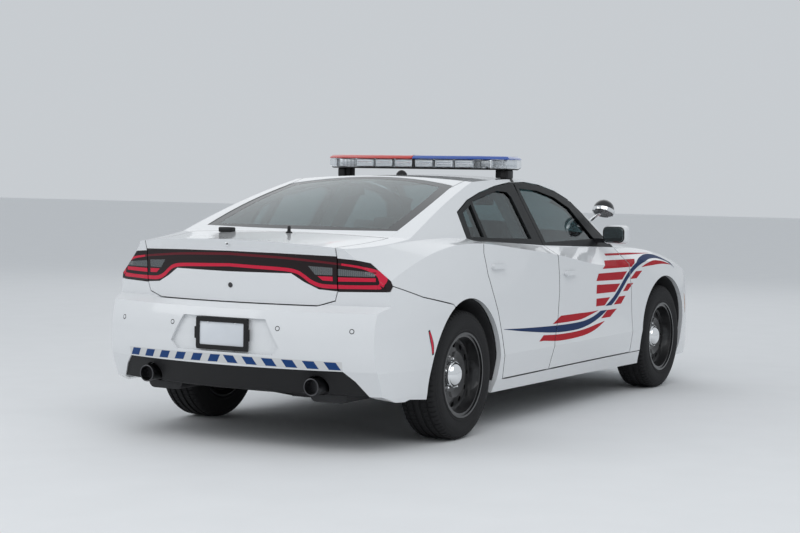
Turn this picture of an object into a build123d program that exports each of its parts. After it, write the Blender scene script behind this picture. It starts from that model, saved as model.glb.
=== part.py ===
"""Full-size four-door police patrol car, in millimetres: +X forward, +Y left, +Z up, origin on
the ground under the middle of the car's length. One node per sub-part, written to parts/NODE.step."""
from build123d import *
import functools
import math
import os

# Main dimensions
FRONT_AXLE_X = 1570.0
REAR_AXLE_X = -1482.0
WHEEL_Y = 810.0
TYRE_R = 363.0
TYRE_HALF_W = 120.0
BEAD_R = 233.0
RIM_HOLES = 12
RIM_HOLE_R = 17.0
RIM_HOLE_CIRCLE_R = 168.0
ARCH_R = 424.0
ARCH_Z = TYRE_R + 8.0
LINER_INNER_Y = 500.0
LINER_WALL = 8.0
RAIL_Y = (392.0, 472.0)
RAIL_Z = (270.0, 350.0)
RAIL_DEPTH = 60.0
RAIL_SIDE = [(-1950, 1000), (-1950, 1500), (970, 1500), (970, 1000)]
GAP = 6.0
SKIN = 28.0
FENDER_EDGE = 10.0
FRAME = 45.0
DOOR_SKIN = 4.0
DOOR = 110.0
HEADER_Y = 590.0
GLASS_OUT = 12.0
GLASS_IN = 17.0
SCREEN_OUT = 3.0
SCREEN_IN = 8.0
SCREEN_LAP = 2.5
CORE_BACK = 14.0
FRONT_HANDLE = (-64.0, 879.0)
REAR_HANDLE = (-1088.0, 958.0)
HANDLE_HALF = 84.0
HANDLE_RISE = 15.0
SILL_Y = 770.0
SILL_TOP = 292.0
PLATE_HOLES = (177.8, 120.65)
PLATE_HOLE_R = 3.5
PLATE_X = -2511.0
PLATE_Z = 614.0
SEAT = 0.3
PIN_R = 4.0
BARREL_R = 9.0
PIN_PLAY = 0.1
HINGE_Y = 902.0
FRONT_HINGE_X = 1026.0
REAR_HINGE_X = -165.0
HOOD_HINGE = (985.0, 965.0)
LID_HINGE = (-1862.0, 1128.0)
KINGPIN_IN = 84.0
SPINDLE_R = 20.0
KINGPIN_R = 9.0
ARM_R = 14.0
REAR_ARM_R = 18.0
SHAFT_R = 26.0
HUB_R = 90.0
TIP_Y = 535.0
TIP_Z = 362.0
TIP_R = (40.0, 44.0)
FLOOR_Z = (262.0, 284.0)
FIREWALL_X = 1045.0
FIREWALL_FRONT_X = 1060.0
EDGE_Y = 980.0
CROWN_Y = 900.0
# Limits that lie inside and outside every panel of a side, behind and ahead of the car, and over it
INNER_Y = 300.0
WIDE_Y = 1100.0
TAIL_X = -2640.0
NOSE_X = 2640.0
TOP_Z = 1520.0

# Side view of the body in its centre plane. dx and dz are the shifts of a point where the body
# reaches CROWN_Y out from the middle. mid_x and mid_z lie on the arc to the next point.
PROFILE = [
    # name, x, z, dx, dz, mid_x, mid_z
    ("front_lip", 2430, 195, -250, 0, 2502, 370),
    ("nose", 2520, 560, -250, 0, 2492, 715),
    ("hood_edge", 2395, 838, -280, -40, 1760, 992),
    ("cowl", 1100, 1025, -230, -30, 765, 1270),
    ("header", 350, 1462, -200, -45, -150, 1484),
    ("roof_end", -850, 1469, 40, -60, -1358, 1332),
    ("glass_base", -1880, 1150, 70, -30, -2180, 1129),
    ("spoiler", -2478, 1118, 215, -60, None, None),
    ("lamp_top", -2456, 1062, 205, -60, None, None),
    ("lamp_bottom", -2444, 930, 195, -60, None, None),
    ("lid_bottom", -2425, 785, 190, 0, None, None),
    ("ledge", -2497, 752, 175, 0, -2520, 600),
    ("bumper_low", -2500, 447, 165, 0, None, None),
    ("diffuser", -2430, 315, 150, 0, None, None),
    ("under_rear", -2050, 232, 0, 0, None, None),
]

# Half sections across the body: half width at the sill, door bottom, lower crease, mid door,
# shoulder, belt and roof heights.
SECTION_Z = (150.0, 300.0, 440.0)
SECTIONS = [
    # x, y_sill, y_bottom, y_crease, y_mid, y_shoulder, z_shoulder, y_belt, z_belt, y_top, z_top
    (-2620, 660, 705, 725, 715, 695, 900, 590, 1060, 420, 1520),
    (-2200, 845, 885, 905, 905, 872, 930, 715, 1085, 500, 1520),
    (-1482, 880, 925, 952, 955, 905, 1095, 785, 1125, 568, 1520),
    (-850, 870, 922, 948, 938, 920, 1058, 822, 1092, 574, 1520),
    (-200, 868, 920, 948, 930, 928, 992, 852, 1045, 576, 1520),
    (500, 868, 920, 948, 926, 935, 905, 835, 1022, 546, 1520),
    (1050, 880, 926, 946, 932, 932, 905, 828, 1012, 640, 1200),
    (1650, 880, 925, 945, 950, 925, 890, 810, 985, 600, 1150),
    (2150, 860, 880, 890, 888, 862, 810, 780, 890, 560, 1100),
    (2620, 560, 590, 600, 600, 580, 710, 500, 790, 380, 980),
]

# Side outlines (x, z) of the doors and their panes, seen from the left
SEAM_B = [
    (-338, 298), (-305, 469), (-244, 607), (-212, 760), (-215, 870), (-240, 985), (-289, 1060), (-278, 1439)]
FRONT_DOOR = SEAM_B + [
    (-103, 1441), (94, 1425), (316, 1385), (508, 1325), (645, 1233), (772, 1114), (868, 1014),
    (876, 962), (930, 850), (973, 726), (973, 298)]
REAR_DOOR = [
    (-985, 298), (-1010, 430), (-1055, 560), (-1110, 700), (-1175, 819), (-1225, 920), (-1250, 1041),
    (-1232, 1110), (-1200, 1265), (-1012, 1332), (-800, 1378), (-556, 1416), (-321, 1440)] + SEAM_B[::-1]
FRONT_PANE = [(-235, 1072), (-232, 1403), (29, 1389), (259, 1345), (436, 1277), (612, 1072)]
REAR_PANE = [(-411, 1097), (-400, 1350), (-430, 1380), (-556, 1389), (-955, 1325), (-977, 1116)]
QUARTER_PANE = [(-1016, 1120), (-987, 1309), (-1132, 1260), (-1169, 1124)]
BELT_Z = 1040.0
FRAME_LINE = [(-1300, 1108), (-709, 1079), (-275, 1054), (611, 1021), (900, 1010)]
FRAME_STEP = 1.0
PILLAR_B = [
    (-330, 250), (-310, 469), (-251, 600), (-219, 760), (-222, 870), (-247, 985), (-262, 1030), (-153, 1030),
    (-153, 560), (-240, 440), (-262, 250)]
FRONT_CORE_SEAM = [(-248, 315), (-226, 436), (-137, 552), (-137, 1040), (-262, 1042), (-262, 1424)]
WINDOW_SPREAD = 5.0

# Plan outlines (x, y). The arc lists number the points that are the middles of arcs.
WINDSHIELD = [
    (934, 730), (1085, 0), (934, -730), (622, -654), (308, -560), (385, 0), (308, 560), (622, 654)]
BACKLIGHT = [
    (-960, 560), (-874, 0), (-960, -560), (-1400, -622), (-1815, -640), (-1866, 0), (-1815, 640),
    (-1400, 622)]
GLASS_ARCS = {1, 3, 5, 7}
ROOF_Y = 566.0
ROOF_X = (-1000.0, 420.0)
ROOF = [(ROOF_X[1], ROOF_Y), (ROOF_X[1], -ROOF_Y), (ROOF_X[0], -ROOF_Y), (ROOF_X[0], ROOF_Y)]
HOOD = [
    (1010, 748), (1130, 0), (1010, -748), (1038, -775), (1650, -760), (2150, -735), (2290, -640), (2406, 0),
    (2290, 640), (2150, 735), (1650, 760), (1038, 775)]
HOOD_ARCS = {1, 7}
LID = [(-1882, 652), (-1914, 0), (-1882, -652), (-2300, -616), (-2640, -616), (-2640, 616), (-2300, 616)]
LID_ARCS = {1}

# Tail outlines (y, z) on the left half
LID_TAIL = [
    (-660, 1250), (660, 1250), (618, 870), (600, 812), (510, 784), (-510, 784), (-600, 812), (-618, 870)]
TRUNK_LAMP = [
    (-616, 1045), (-300, 1053), (0, 1056), (300, 1053), (616, 1045), (616, 861), (520, 868), (440, 905),
    (370, 948), (0, 945), (-370, 948), (-440, 905), (-520, 868), (-616, 861)]
CORNER_LAMP = [(622, 861), (622, 1044), (850, 1000), (1000, 985), (1000, 876), (870, 866)]
CORNER_LAMP_SIDE = [(-2640, 800), (-2640, 1100), (-2255, 1010), (-2212, 892), (-2245, 855)]
VALANCE = [
    (-1000, 150), (-1000, 240), (-810, 300), (-745, 395), (-690, 447), (690, 447), (745, 395), (810, 300),
    (1000, 240), (1000, 150)]
PLATE_RECESS = [(-265, 705), (265, 705), (350, 560), (310, 518), (-310, 518), (-350, 560)]
REAR_BUMPER_SIDE = [
    (-2640, 150), (-2640, 900), (-2260, 893), (-2211, 889), (-1982, 823), (-1682, 769), (-1600, 700),
    (-1600, 240), (-2061, 284)]
FRONT_BUMPER_SIDE = [
    (1760, 185), (1760, 580), (1880, 640), (2040, 700), (2150, 735), (2640, 735), (2640, 185)]
FENDER_SIDE = [
    (979, 298), (979, 728), (936, 853), (882, 965), (874, 1010), (960, 1012), (960, 1100), (2640, 1100),
    (2640, 298)]
QUARTER_SIDE = [
    (-960, 206), (-960, 1300), (-2640, 1300), (-2640, 897), (-2260, 899), (-2211, 895), (-1982, 829),
    (-1676, 775), (-1600, 700), (-1482, 206)]
HEADLAMP = [(490, 716), (490, 806), (720, 812), (900, 806), (900, 742), (700, 700)]
GRILLE = [(-470, 790), (470, 790), (400, 600), (-400, 600)]
LOWER_GRILLE = [(-560, 450), (560, 450), (640, 300), (-640, 300)]
GRILLE_BAR = 7.0
GRILLE_RIM = 22.0

# Door hinges: x of the axis, z of the barrel's middle, reach of the swan neck
FRONT_HINGES = [(FRONT_HINGE_X, 470, 80), (FRONT_HINGE_X, 698, 98)]
REAR_HINGES = [(REAR_HINGE_X, 700, 106), (REAR_HINGE_X, 900, 106)]

# Light bar: plan outline, and the heights of its base, lens, covers and top
BAR_X = -300.0
BAR_PLAN = [
    (BAR_X + 150, 500), (BAR_X + 160, 0), (BAR_X + 150, -500), (BAR_X + 90, -650), (BAR_X - 90, -650),
    (BAR_X - 150, -500), (BAR_X - 160, 0), (BAR_X - 150, 500), (BAR_X - 90, 650), (BAR_X + 90, 650)]
BAR_Z = (1516.0, 1534.0, 1572.0, 1602.0)

# Fuel flap: x and z limits, and its slanted pivot
FUEL_FLAP = (-1862.0, -1700.0, 815.0, 960.0)
FUEL_HINGE = Pos(-1682.0, 929.1, 887.0) * Rot(8.82, 0, 0)
FUEL_PIN_R = 2.0


def inset(points, depth):
    """Outline moved inward by depth, or outward when it is negative."""
    count = len(points)
    area = sum(points[i - 1][0] * points[i][1] - points[i][0] * points[i - 1][1] for i in range(count))
    side = 1.0 if area > 0 else -1.0
    moved = []
    for i in range(count):
        before, here, after = points[i - 1], points[i], points[(i + 1) % count]
        normals = []
        for a, b in ((before, here), (here, after)):
            length = math.hypot(b[0] - a[0], b[1] - a[1])
            normals.append((-(b[1] - a[1]) / length * side, (b[0] - a[0]) / length * side))
        (ux, uy), (vx, vy) = normals
        scale = depth / (1.0 + ux * vx + uy * vy)
        moved.append((here[0] + scale * (ux + vx), here[1] + scale * (uy + vy)))
    return moved


def face_of(points, arcs, place):
    """Face through points, whose arcs' middles are the indices in arcs."""
    edges = []
    count = len(points)
    i = 0
    while i < count:
        start = place(points[i])
        if (i + 1) % count in arcs:
            middle, end = place(points[i + 1]), place(points[(i + 2) % count])
            edges.append(Bezier(start, middle * 2 - (start + end) / 2, end).edge())
            i += 2
        else:
            edges.append(Line(start, place(points[(i + 1) % count])).edge())
            i += 1
    return Face(Wire(edges))


def prism(axis, points, low, high, arcs=(), grow=0.0):
    """Solid with the given outline, standing along an axis between low and high."""
    if grow:
        points = inset(points, -grow)
    place = {
        "x": lambda p: Vector(low, p[0], p[1]),
        "y": lambda p: Vector(p[0], low, p[1]),
        "z": lambda p: Vector(p[0], p[1], low),
    }[axis]
    way = {"x": Vector(1, 0, 0), "y": Vector(0, 1, 0), "z": Vector(0, 0, 1)}[axis]
    return extrude(face_of(points, set(arcs), place), amount=high - low, dir=way)


def block(x0, x1, y0, y1, z0, z1):
    return Pos((x0 + x1) / 2, (y0 + y1) / 2, (z0 + z1) / 2) * Box(x1 - x0, y1 - y0, z1 - z0)


def blocks(rows):
    """One solid of blocks given as rows of x0, x1, y0, y1, z0, z1."""
    solid = block(*rows[0])
    for row in rows[1:]:
        solid += block(*row)
    return solid


def rod(start, end, radius):
    """Round bar between two points."""
    a, b = Vector(*start), Vector(*end)
    return Plane(origin=(a + b) / 2, z_dir=(b - a)) * Cylinder(radius, (b - a).length)


def other_side(shape):
    return mirror(shape, about=Plane.XZ)


def both(shape):
    """The pieces on the left and their mirror images on the right."""
    return Compound(children=[*shape.solids(), *other_side(shape).solids()])


def profile_face(y, depth):
    k = (y / CROWN_Y) ** 2
    points = []
    arcs = set()
    for i, (_, x, z, dx, dz, mid_x, mid_z) in enumerate(PROFILE):
        points.append((x + k * dx, z + k * dz))
        if mid_x is not None:
            following = PROFILE[(i + 1) % len(PROFILE)]
            arcs.add(len(points))
            points.append((mid_x + k * (dx + following[3]) / 2, mid_z + k * (dz + following[4]) / 2))
    return face_of(inset(points, depth), arcs, lambda p: Vector(p[0], y, p[1]))


def section_face(row, depth):
    x, y_sill, y_bottom, y_crease, y_mid, y_shoulder, z_shoulder, y_belt, z_belt, y_top, z_top = row
    z_sill, z_bottom, z_crease = SECTION_Z
    half = [(y_sill, z_sill), (y_bottom, z_bottom), (y_crease, z_crease),
            (y_mid, (z_crease + z_shoulder) / 2), (y_shoulder, z_shoulder), (y_belt, z_belt), (y_top, z_top)]
    points = half + [(-y, z) for y, z in reversed(half)]
    return face_of(inset(points, depth), {3, 10}, lambda p: Vector(x, p[0], p[1]))


@functools.cache
def hull(depth=0.0):
    """The whole body's outside, moved inward by depth."""
    lengthwise = loft([profile_face(y, depth) for y in (-EDGE_Y, 0.0, EDGE_Y)])
    crosswise = loft([section_face(row, depth) for row in SECTIONS])
    return lengthwise & crosswise


def shell(outer, inner, zone):
    """The layer of the body between two depths, inside a zone."""
    return (hull(outer) & zone) - hull(inner)


def arch(axle_x, radius, inner_y=LINER_INNER_Y, outer_y=WIDE_Y):
    """Drum of a left wheel arch."""
    drum = Rot(90, 0, 0) * Cylinder(radius, outer_y - inner_y)
    return Pos(axle_x, (inner_y + outer_y) / 2, ARCH_Z) * drum


def windshield_zone(grow=0.0):
    return prism("z", WINDSHIELD, 950, TOP_Z, GLASS_ARCS, grow)


def backlight_zone(grow=0.0):
    return prism("z", BACKLIGHT, 1100, TOP_Z, GLASS_ARCS, grow)


def hood_zone(grow=0.0):
    return prism("z", HOOD, 795 - grow, 1100, HOOD_ARCS, grow)


def lid_zone(grow=0.0):
    tail = prism("x", LID_TAIL, TAIL_X, -1850, grow=grow)
    return prism("z", LID, 700, 1250, LID_ARCS, grow) & tail


def corner_lamp_zone(grow=0.0):
    sides = prism("y", CORNER_LAMP_SIDE, 600, 1000, grow=grow)
    return prism("x", CORNER_LAMP, TAIL_X, -2150, grow=grow) & sides


def headlamp_zone(grow=0.0):
    return prism("x", HEADLAMP, 2120 - grow, NOSE_X, grow=grow)


@functools.cache
def windshield():
    return shell(SCREEN_OUT, SCREEN_IN, windshield_zone(SCREEN_LAP))


@functools.cache
def rear_window():
    return shell(SCREEN_OUT, SCREEN_IN, backlight_zone(SCREEN_LAP))


def door_panes(outlines):
    """Side glass, which reaches a little behind the edges of its openings."""
    panes = []
    for outline in outlines:
        panes.append(shell(GLASS_OUT, GLASS_IN, prism("y", outline, INNER_Y, WIDE_Y, grow=WINDOW_SPREAD)))
    return panes[0] if len(panes) == 1 else panes[0] + panes[1]


def door_hinge(axis_x, z, reach):
    """Moving half of a left door's hinge: a barrel and a swan neck that reaches back into the door."""
    plan = [(-6, 0), (-12, -30), (-34, -47), (-reach, -53), (-reach, -64), (-26, -58), (0, -40), (6, 0)]
    neck = prism("z", [(axis_x + x, HINGE_Y + y) for x, y in plan], z - 20, z + 20)
    neck += Pos(axis_x, HINGE_Y, z) * Cylinder(BARREL_R, 40)
    return neck - Pos(axis_x, HINGE_Y, z) * Cylinder(PIN_R + PIN_PLAY, 50)


def hinge_pocket(axis_x, z, reach):
    return block(axis_x - reach - 10, axis_x + 13, HINGE_Y - 72, HINGE_Y + 30, z - 21, z + 21)


def hinge_pin(axis_x, z, _reach):
    return Pos(axis_x, HINGE_Y, z) * Cylinder(PIN_R, 66)


def door(outline, core_outline, pane_outlines, panes, hinges):
    """Left door: a skin, a core set back from the skin's edge, window frames and hinges."""
    skin_zone = prism("y", inset(outline, GAP / 2), INNER_Y, WIDE_Y)
    core_zone = prism("y", core_outline, INNER_Y, WIDE_Y)
    below_belt = block(-1400, 1100, INNER_Y, WIDE_Y, 200, BELT_Z)
    solid = shell(0.0, DOOR_SKIN, skin_zone) + shell(DOOR_SKIN, FRAME, core_zone)
    solid += shell(DOOR_SKIN, DOOR, core_zone & below_belt)
    solid -= block(-1400, 1100, INNER_Y, 800, 280, 352) + block(-1400, 500, INNER_Y, HEADER_Y, 1330, 1500)
    for pane in pane_outlines:
        solid -= prism("y", pane, INNER_Y, WIDE_Y)
    solid -= shell(0.0, FRAME_STEP, prism("y", FRAME_LINE + [(900, 1500), (-1300, 1500)], INNER_Y, WIDE_Y))
    for pane in panes:
        solid -= pane
    for hinge in hinges:
        solid += door_hinge(*hinge)
    return solid


def door_handle(x, z):
    """Pull handle standing out from a door."""
    bar = block(x - HANDLE_HALF, x + HANDLE_HALF, 920, 950, z - HANDLE_RISE, z + HANDLE_RISE)
    bar = fillet(bar.edges().filter_by(Axis.Y), HANDLE_RISE - 1)
    return bar - hull(6.0)


def front_door():
    panes = door_panes([FRONT_PANE])
    core = FRONT_CORE_SEAM + inset(FRONT_DOOR, GAP / 2 + CORE_BACK)[len(SEAM_B):]
    solid = door(FRONT_DOOR, core, [FRONT_PANE], panes.solids(), FRONT_HINGES)
    solid -= prism("y", [(-300, 1330), (-281, 1330), (-262, 1440), (-262, 1460), (-300, 1460)], 500, 800)
    return solid + door_handle(*FRONT_HANDLE), panes


def rear_door():
    panes = door_panes([REAR_PANE, QUARTER_PANE])
    core = inset(REAR_DOOR, GAP / 2 + CORE_BACK)
    solid = door(REAR_DOOR, core, [REAR_PANE, QUARTER_PANE], panes.solids(), REAR_HINGES)
    return solid + door_handle(*REAR_HANDLE), panes


def door_openings():
    """Openings of both left doors."""
    front, rear = (prism("y", outline, INNER_Y, WIDE_Y, grow=GAP / 2) for outline in (FRONT_DOOR, REAR_DOOR))
    return front + rear


def body_side():
    """Left pillars, roof rail, sill and quarter panel."""
    rail = shell(0.0, RAIL_DEPTH, prism("y", RAIL_SIDE, ROOF_Y + GAP, WIDE_Y))
    quarter = shell(0.0, SKIN, prism("y", QUARTER_SIDE, INNER_Y, WIDE_Y))
    sill = hull() & block(-1100, 1180, SILL_Y, 1000, 200, SILL_TOP)
    wheel_house = block(-1800, -900, 290, 768, 150, 460)
    solid = rail + quarter - door_openings() - wheel_house - fender_zone(GAP) + sill
    cuts = (
        windshield_zone(), windshield(), backlight_zone(), rear_window(), hood_zone(GAP), lid_zone(GAP),
        deck_zone(SEAT), corner_lamp_zone(SEAT), arch(REAR_AXLE_X, ARCH_R), arch(FRONT_AXLE_X, ARCH_R))
    for cut in cuts:
        solid -= cut
    return solid + pillar_b() + hinge_pillar()


def pillar_b():
    """Pillar between the doors, with the pins of the rear door's hinges."""
    solid = shell(18.0, 170.0, prism("y", PILLAR_B, 745, 1100)) - block(-400, -100, 700, SILL_Y, 200, 420)
    solid += shell(FRAME + GAP, 130.0, block(-370, -190, 500, 1100, BELT_Z + 10, 1446))
    solid += shell(FRAME + GAP, 130.0, block(-250, -190, 500, 1100, 990, BELT_Z + 20))
    for hinge in REAR_HINGES:
        solid -= hinge_pocket(*hinge)
        solid += hinge_pin(*hinge)
    return solid


def hinge_pillar():
    """Pillar ahead of the front door, with the pins of the front door's and the hood's hinges."""
    solid = shell(14.0, 150.0, block(990, FIREWALL_X, 745, WIDE_Y, 250, 960))
    solid -= block(980, WIDE_Y, 700, SILL_Y, 200, 420)
    for hinge in FRONT_HINGES:
        solid -= hinge_pocket(*hinge)
        solid += hinge_pin(*hinge)
    solid += shell(SKIN + GAP, 150.0, block(925, FIREWALL_X, 764, WIDE_Y, 930, 1040))
    solid += shell(FENDER_EDGE + SEAT, 20.0, block(1034, FIREWALL_X, 745, WIDE_Y, 860, 900))
    x, z = HOOD_HINGE
    solid -= block(x - 12, x + 90, 700, 770, z - 50, z + 40)
    return solid + rod((x, 736, z), (x, 790, z), PIN_R)


def fender_zone(grow=0.0):
    return prism("y", FENDER_SIDE, INNER_Y, WIDE_Y, grow=grow)


def front_fender():
    zone = fender_zone() - prism("y", FRONT_BUMPER_SIDE, INNER_Y, WIDE_Y, grow=GAP / 2)
    solid = shell(0.0, SKIN, zone)
    solid -= block(800, 2700, 0, 520, 0, 1200)
    solid -= hull(FENDER_EDGE) & block(970, 1050, 700, 1100, 290, 966)
    solid -= block(900, 1046, 700, 782, 960, 1100)
    for cut in (hood_zone(GAP), headlamp_zone(GAP / 2), arch(FRONT_AXLE_X, ARCH_R), windshield_zone(20.0),
                prism("x", GRILLE, 2100, NOSE_X, grow=GAP), cowl_zone(GAP)):
        solid -= cut
    return solid


def cowl_zone(grow=0.0):
    outline = [(930, 745), (1088, 0), (930, -745), (1004, -769), (1124, 0), (1004, 769)]
    return prism("z", outline, 950, 1060, {1, 4}, grow)


def cowl():
    """Black plastic panel between the hood and the windshield."""
    zone = cowl_zone() + cowl_zone().moved(Location((40, 0, 0)))
    panel = shell(SKIN + 6, SKIN + 20, zone) & block(900, 1250, -732, 732, 900, 1060)
    return panel - windshield()


def roof():
    """Roof panel, with flanges that seat on the side rails below the roof ditches."""
    solid = shell(0.0, 30.0, prism("z", ROOF, 1380, TOP_Z))
    solid += shell(18.0, 30.0, block(*ROOF_X, -ROOF_Y - GAP, ROOF_Y + GAP, 1380, TOP_Z))
    for cut in (windshield_zone(), windshield(), backlight_zone(), rear_window()):
        solid -= cut
    return solid


def hood_hinge():
    """Moving half of the left hood hinge."""
    x, z = HOOD_HINGE
    side = [(-5, -6), (28, -34), (40, -33), (70, -10), (80, 14), (50, 14), (50, -4), (33, -17), (5, 8)]
    neck = prism("y", [(x + dx, z + dz) for dx, dz in side], 740, 756)
    neck += rod((x, 740, z), (x, 756, z), BARREL_R)
    return neck - rod((x, 730, z), (x, 770, z), PIN_R + PIN_PLAY)


def lid_hinge():
    """Moving half of the left trunk hinge."""
    x, z = LID_HINGE
    side = [
        (6, 0), (2, -46), (-30, -60), (-44, -60), (-82, -30), (-82, -4), (-52, -4), (-52, -28), (-40, -48),
        (-18, -38), (-6, 0)]
    neck = prism("y", [(x + dx, z + dz) for dx, dz in side], 293, 307)
    neck += rod((x, 293, z), (x, 307, z), BARREL_R - 1)
    return neck - rod((x, 280, z), (x, 320, z), PIN_R + PIN_PLAY)


def hood():
    solid = shell(0.0, SKIN, hood_zone()) - prism("x", GRILLE, 2100, NOSE_X, grow=GAP)
    return solid + hood_hinge() + other_side(hood_hinge())


def trunk_lid():
    solid = shell(0.0, SKIN, lid_zone()) - prism("x", TRUNK_LAMP, TAIL_X, -2300)
    solid += shell(SKIN, SKIN + 12, lid_zone(-24.0) & block(TAIL_X, -2280, -700, 700, 700, 1200))
    return solid + lid_hinge() + other_side(lid_hinge())


def trunk_lamp():
    return shell(2.0, SKIN, prism("x", TRUNK_LAMP, TAIL_X, -2300))


def corner_lamp():
    return shell(2.0, 40.0, corner_lamp_zone())


def rear_bumper():
    solid = shell(0.0, SKIN, prism("y", REAR_BUMPER_SIDE, -1100, 1100))
    recess = prism("x", PLATE_RECESS, TAIL_X, -2300)
    solid += shell(20.0, 48.0, prism("x", PLATE_RECESS, TAIL_X, -2300, grow=20.0))
    solid -= recess - hull(20.0)
    solid -= prism("x", VALANCE, TAIL_X, -1600, grow=1.0)
    solid -= lid_zone(GAP)
    for hole in plate_holes(PLATE_HOLE_R, 60):
        solid -= hole
    for cut in (corner_lamp_zone(GAP / 2), arch(REAR_AXLE_X, ARCH_R)):
        solid -= cut
        solid -= other_side(cut)
    return solid


def rear_valance():
    zone = prism("x", VALANCE, TAIL_X, -2060) & block(TAIL_X, -2300, -860, 860, 290, 450)
    solid = shell(8.0, 36.0, zone)
    for y in (-TIP_Y, TIP_Y):
        solid -= Pos(-2400, y, TIP_Z) * Rot(0, 90, 0) * Cylinder(TIP_R[1] + 14, 400)
    return solid


def grille_openings(outline, rows, columns):
    """Openings between the bars and ribs of a grille with a level top and bottom edge, left to right."""
    halves = {}
    for y, z in outline:
        halves[z] = max(abs(y), halves.get(z, 0.0))
    low, high = min(halves), max(halves)
    pitch = (high - low - 2 * GRILLE_RIM) / rows
    openings = []
    for row in range(rows):
        z = low + GRILLE_RIM + row * pitch
        share = (z + pitch / 2 - low) / (high - low)
        half = halves[low] + (halves[high] - halves[low]) * share - GRILLE_RIM - 8
        width = 2 * half / columns
        for column in range(columns):
            y = -half + column * width
            opening = block(
                2100, NOSE_X, y + GRILLE_BAR / 2, y + width - GRILLE_BAR / 2,
                z + GRILLE_BAR / 2, z + pitch - GRILLE_BAR / 2)
            openings.append(opening)
    return openings


def front_bumper():
    solid = shell(0.0, SKIN, prism("y", FRONT_BUMPER_SIDE, -1100, 1100))
    solid -= prism("x", GRILLE, 2100, NOSE_X, grow=SEAT)
    solid -= prism("x", LOWER_GRILLE, 2100, NOSE_X)
    mesh = shell(14.0, SKIN, prism("x", LOWER_GRILLE, 2100, NOSE_X, grow=4.0))
    solid += mesh.cut(*grille_openings(LOWER_GRILLE, 4, 9))
    for cut in (headlamp_zone(SEAT), arch(FRONT_AXLE_X, ARCH_R)):
        solid -= cut
        solid -= other_side(cut)
    return solid


def grille():
    solid = shell(10.0, 36.0, prism("x", GRILLE, 2300, NOSE_X)) - hood_zone(GAP)
    return solid.cut(*grille_openings(GRILLE, 6, 8))


def headlamp():
    return shell(2.0, 60.0, headlamp_zone()) - hood_zone(GAP) - prism("x", GRILLE, 2100, NOSE_X, grow=GAP)


def wheel_liners():
    """Half-round arch liners with flat inner walls."""
    pieces = []
    for axle_x in (FRONT_AXLE_X, REAR_AXLE_X):
        drum = arch(axle_x, ARCH_R + 10, LINER_INNER_Y - LINER_WALL, 912)
        drum -= arch(axle_x, ARCH_R - 2, LINER_INNER_Y, 930)
        drum -= block(axle_x - 500, axle_x + 500, 400, 1000, 0, 300)
        drum -= block(axle_x - 130, axle_x + 130, 480, 510, 290, 420)
        pieces.append(drum & hull(SKIN))
    return both(Compound(children=[s for p in pieces for s in p.solids()]))


def cabin_floor():
    """Floor, tunnel, firewall and rear bulkhead."""
    bottom, top = FLOOR_Z
    inner = LINER_INNER_Y - LINER_WALL
    pieces = [
        # x0, x1, y0, y1, z0, z1: floor, tunnel, firewall up to the sills and over them, heel board,
        # seat ledge and bulkhead
        (-1020, FIREWALL_FRONT_X, -SILL_Y, SILL_Y, bottom, top),
        (-1000, FIREWALL_X, -130, 130, bottom, 390),
        (FIREWALL_X, FIREWALL_FRONT_X, -SILL_Y, SILL_Y, bottom, SILL_TOP),
        (FIREWALL_X, FIREWALL_FRONT_X, -790, 790, SILL_TOP, 935),
        (-1020, -1000, -SILL_Y, SILL_Y, bottom, 560),
        (-1250, -1000, -inner, inner, 540, 560),
        (-1262, -1246, -inner, inner, 430, 1000),
    ]
    solid = blocks(pieces)
    solid += block(FIREWALL_X, FIREWALL_FRONT_X, -700, 700, 900, 1020) & hull(SKIN + 20 + SEAT)
    for axle_x in (FRONT_AXLE_X, REAR_AXLE_X):
        for y in (-800, 800):
            solid -= Pos(axle_x, y, ARCH_Z) * Rot(90, 0, 0) * Cylinder(ARCH_R + 10, 620)
    return solid


def trunk_tub():
    """Trunk floor, side walls and the panel behind the rear bumper."""
    inner = LINER_INNER_Y - LINER_WALL
    wide = 700
    pieces = [
        # x0, x1, y0, y1, z0, z1: floor between the wheels, back panel, floor behind them and side walls
        (-2400, -1262, -inner, inner, 415, 430),
        (-2400, -2386, -wide, wide, 330, 770),
        (-2400, -1910, -wide, wide, 415, 430),
        (-2400, -1910, -wide, -wide + 10, 415, 900),
        (-2400, -1910, wide - 10, wide, 415, 900),
    ]
    solid = blocks(pieces) & hull(48.0)
    for y in (-800, 800):
        solid -= Pos(REAR_AXLE_X, y, ARCH_Z) * Rot(90, 0, 0) * Cylinder(ARCH_R + 10, 620)
    return solid


def deck_zone(grow=0.0):
    outline = [(-1760, 646), (-1850, 0), (-1760, -646), (-1876, -652), (-1908, 0), (-1876, 652)]
    return prism("z", outline, 1060, 1200, {1, 4}, grow)


def rear_deck():
    """Parcel shelf and the strip of body below the rear window."""
    strip = shell(0.0, 40.0, deck_zone())
    strip -= rear_window()
    shelf = block(-1890, -1246, -640, 640, 1012, 1026) & hull(60.0 + SEAT)
    brace = block(-1890, -1850, -560, 560, 1020, 1130) & hull(30.0)
    solid = strip + shelf + (brace - rear_window())
    x, z = LID_HINGE
    for y in (-300, 300):
        solid -= hull(6.0) & block(-1950, -1846, y - 12, y + 12, 1060, 1200)
        solid += rod((x, y - 20, z), (x, y + 20, z), PIN_R)
    return solid


def tyre():
    """Tyre about its own centre, with its axle along Y."""
    wide = TYRE_HALF_W
    half = [(BEAD_R, wide - 16), (BEAD_R + 40, wide), (TYRE_R - 22, wide - 4), (TYRE_R, wide - 26)]
    outline = [(r, -y) for r, y in half] + half[::-1]
    section = Face(Wire.make_polygon([Vector(r, 0, y) for r, y in outline]))
    return Rot(90, 0, 0) * revolve(section, Axis.Z, 360)


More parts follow.
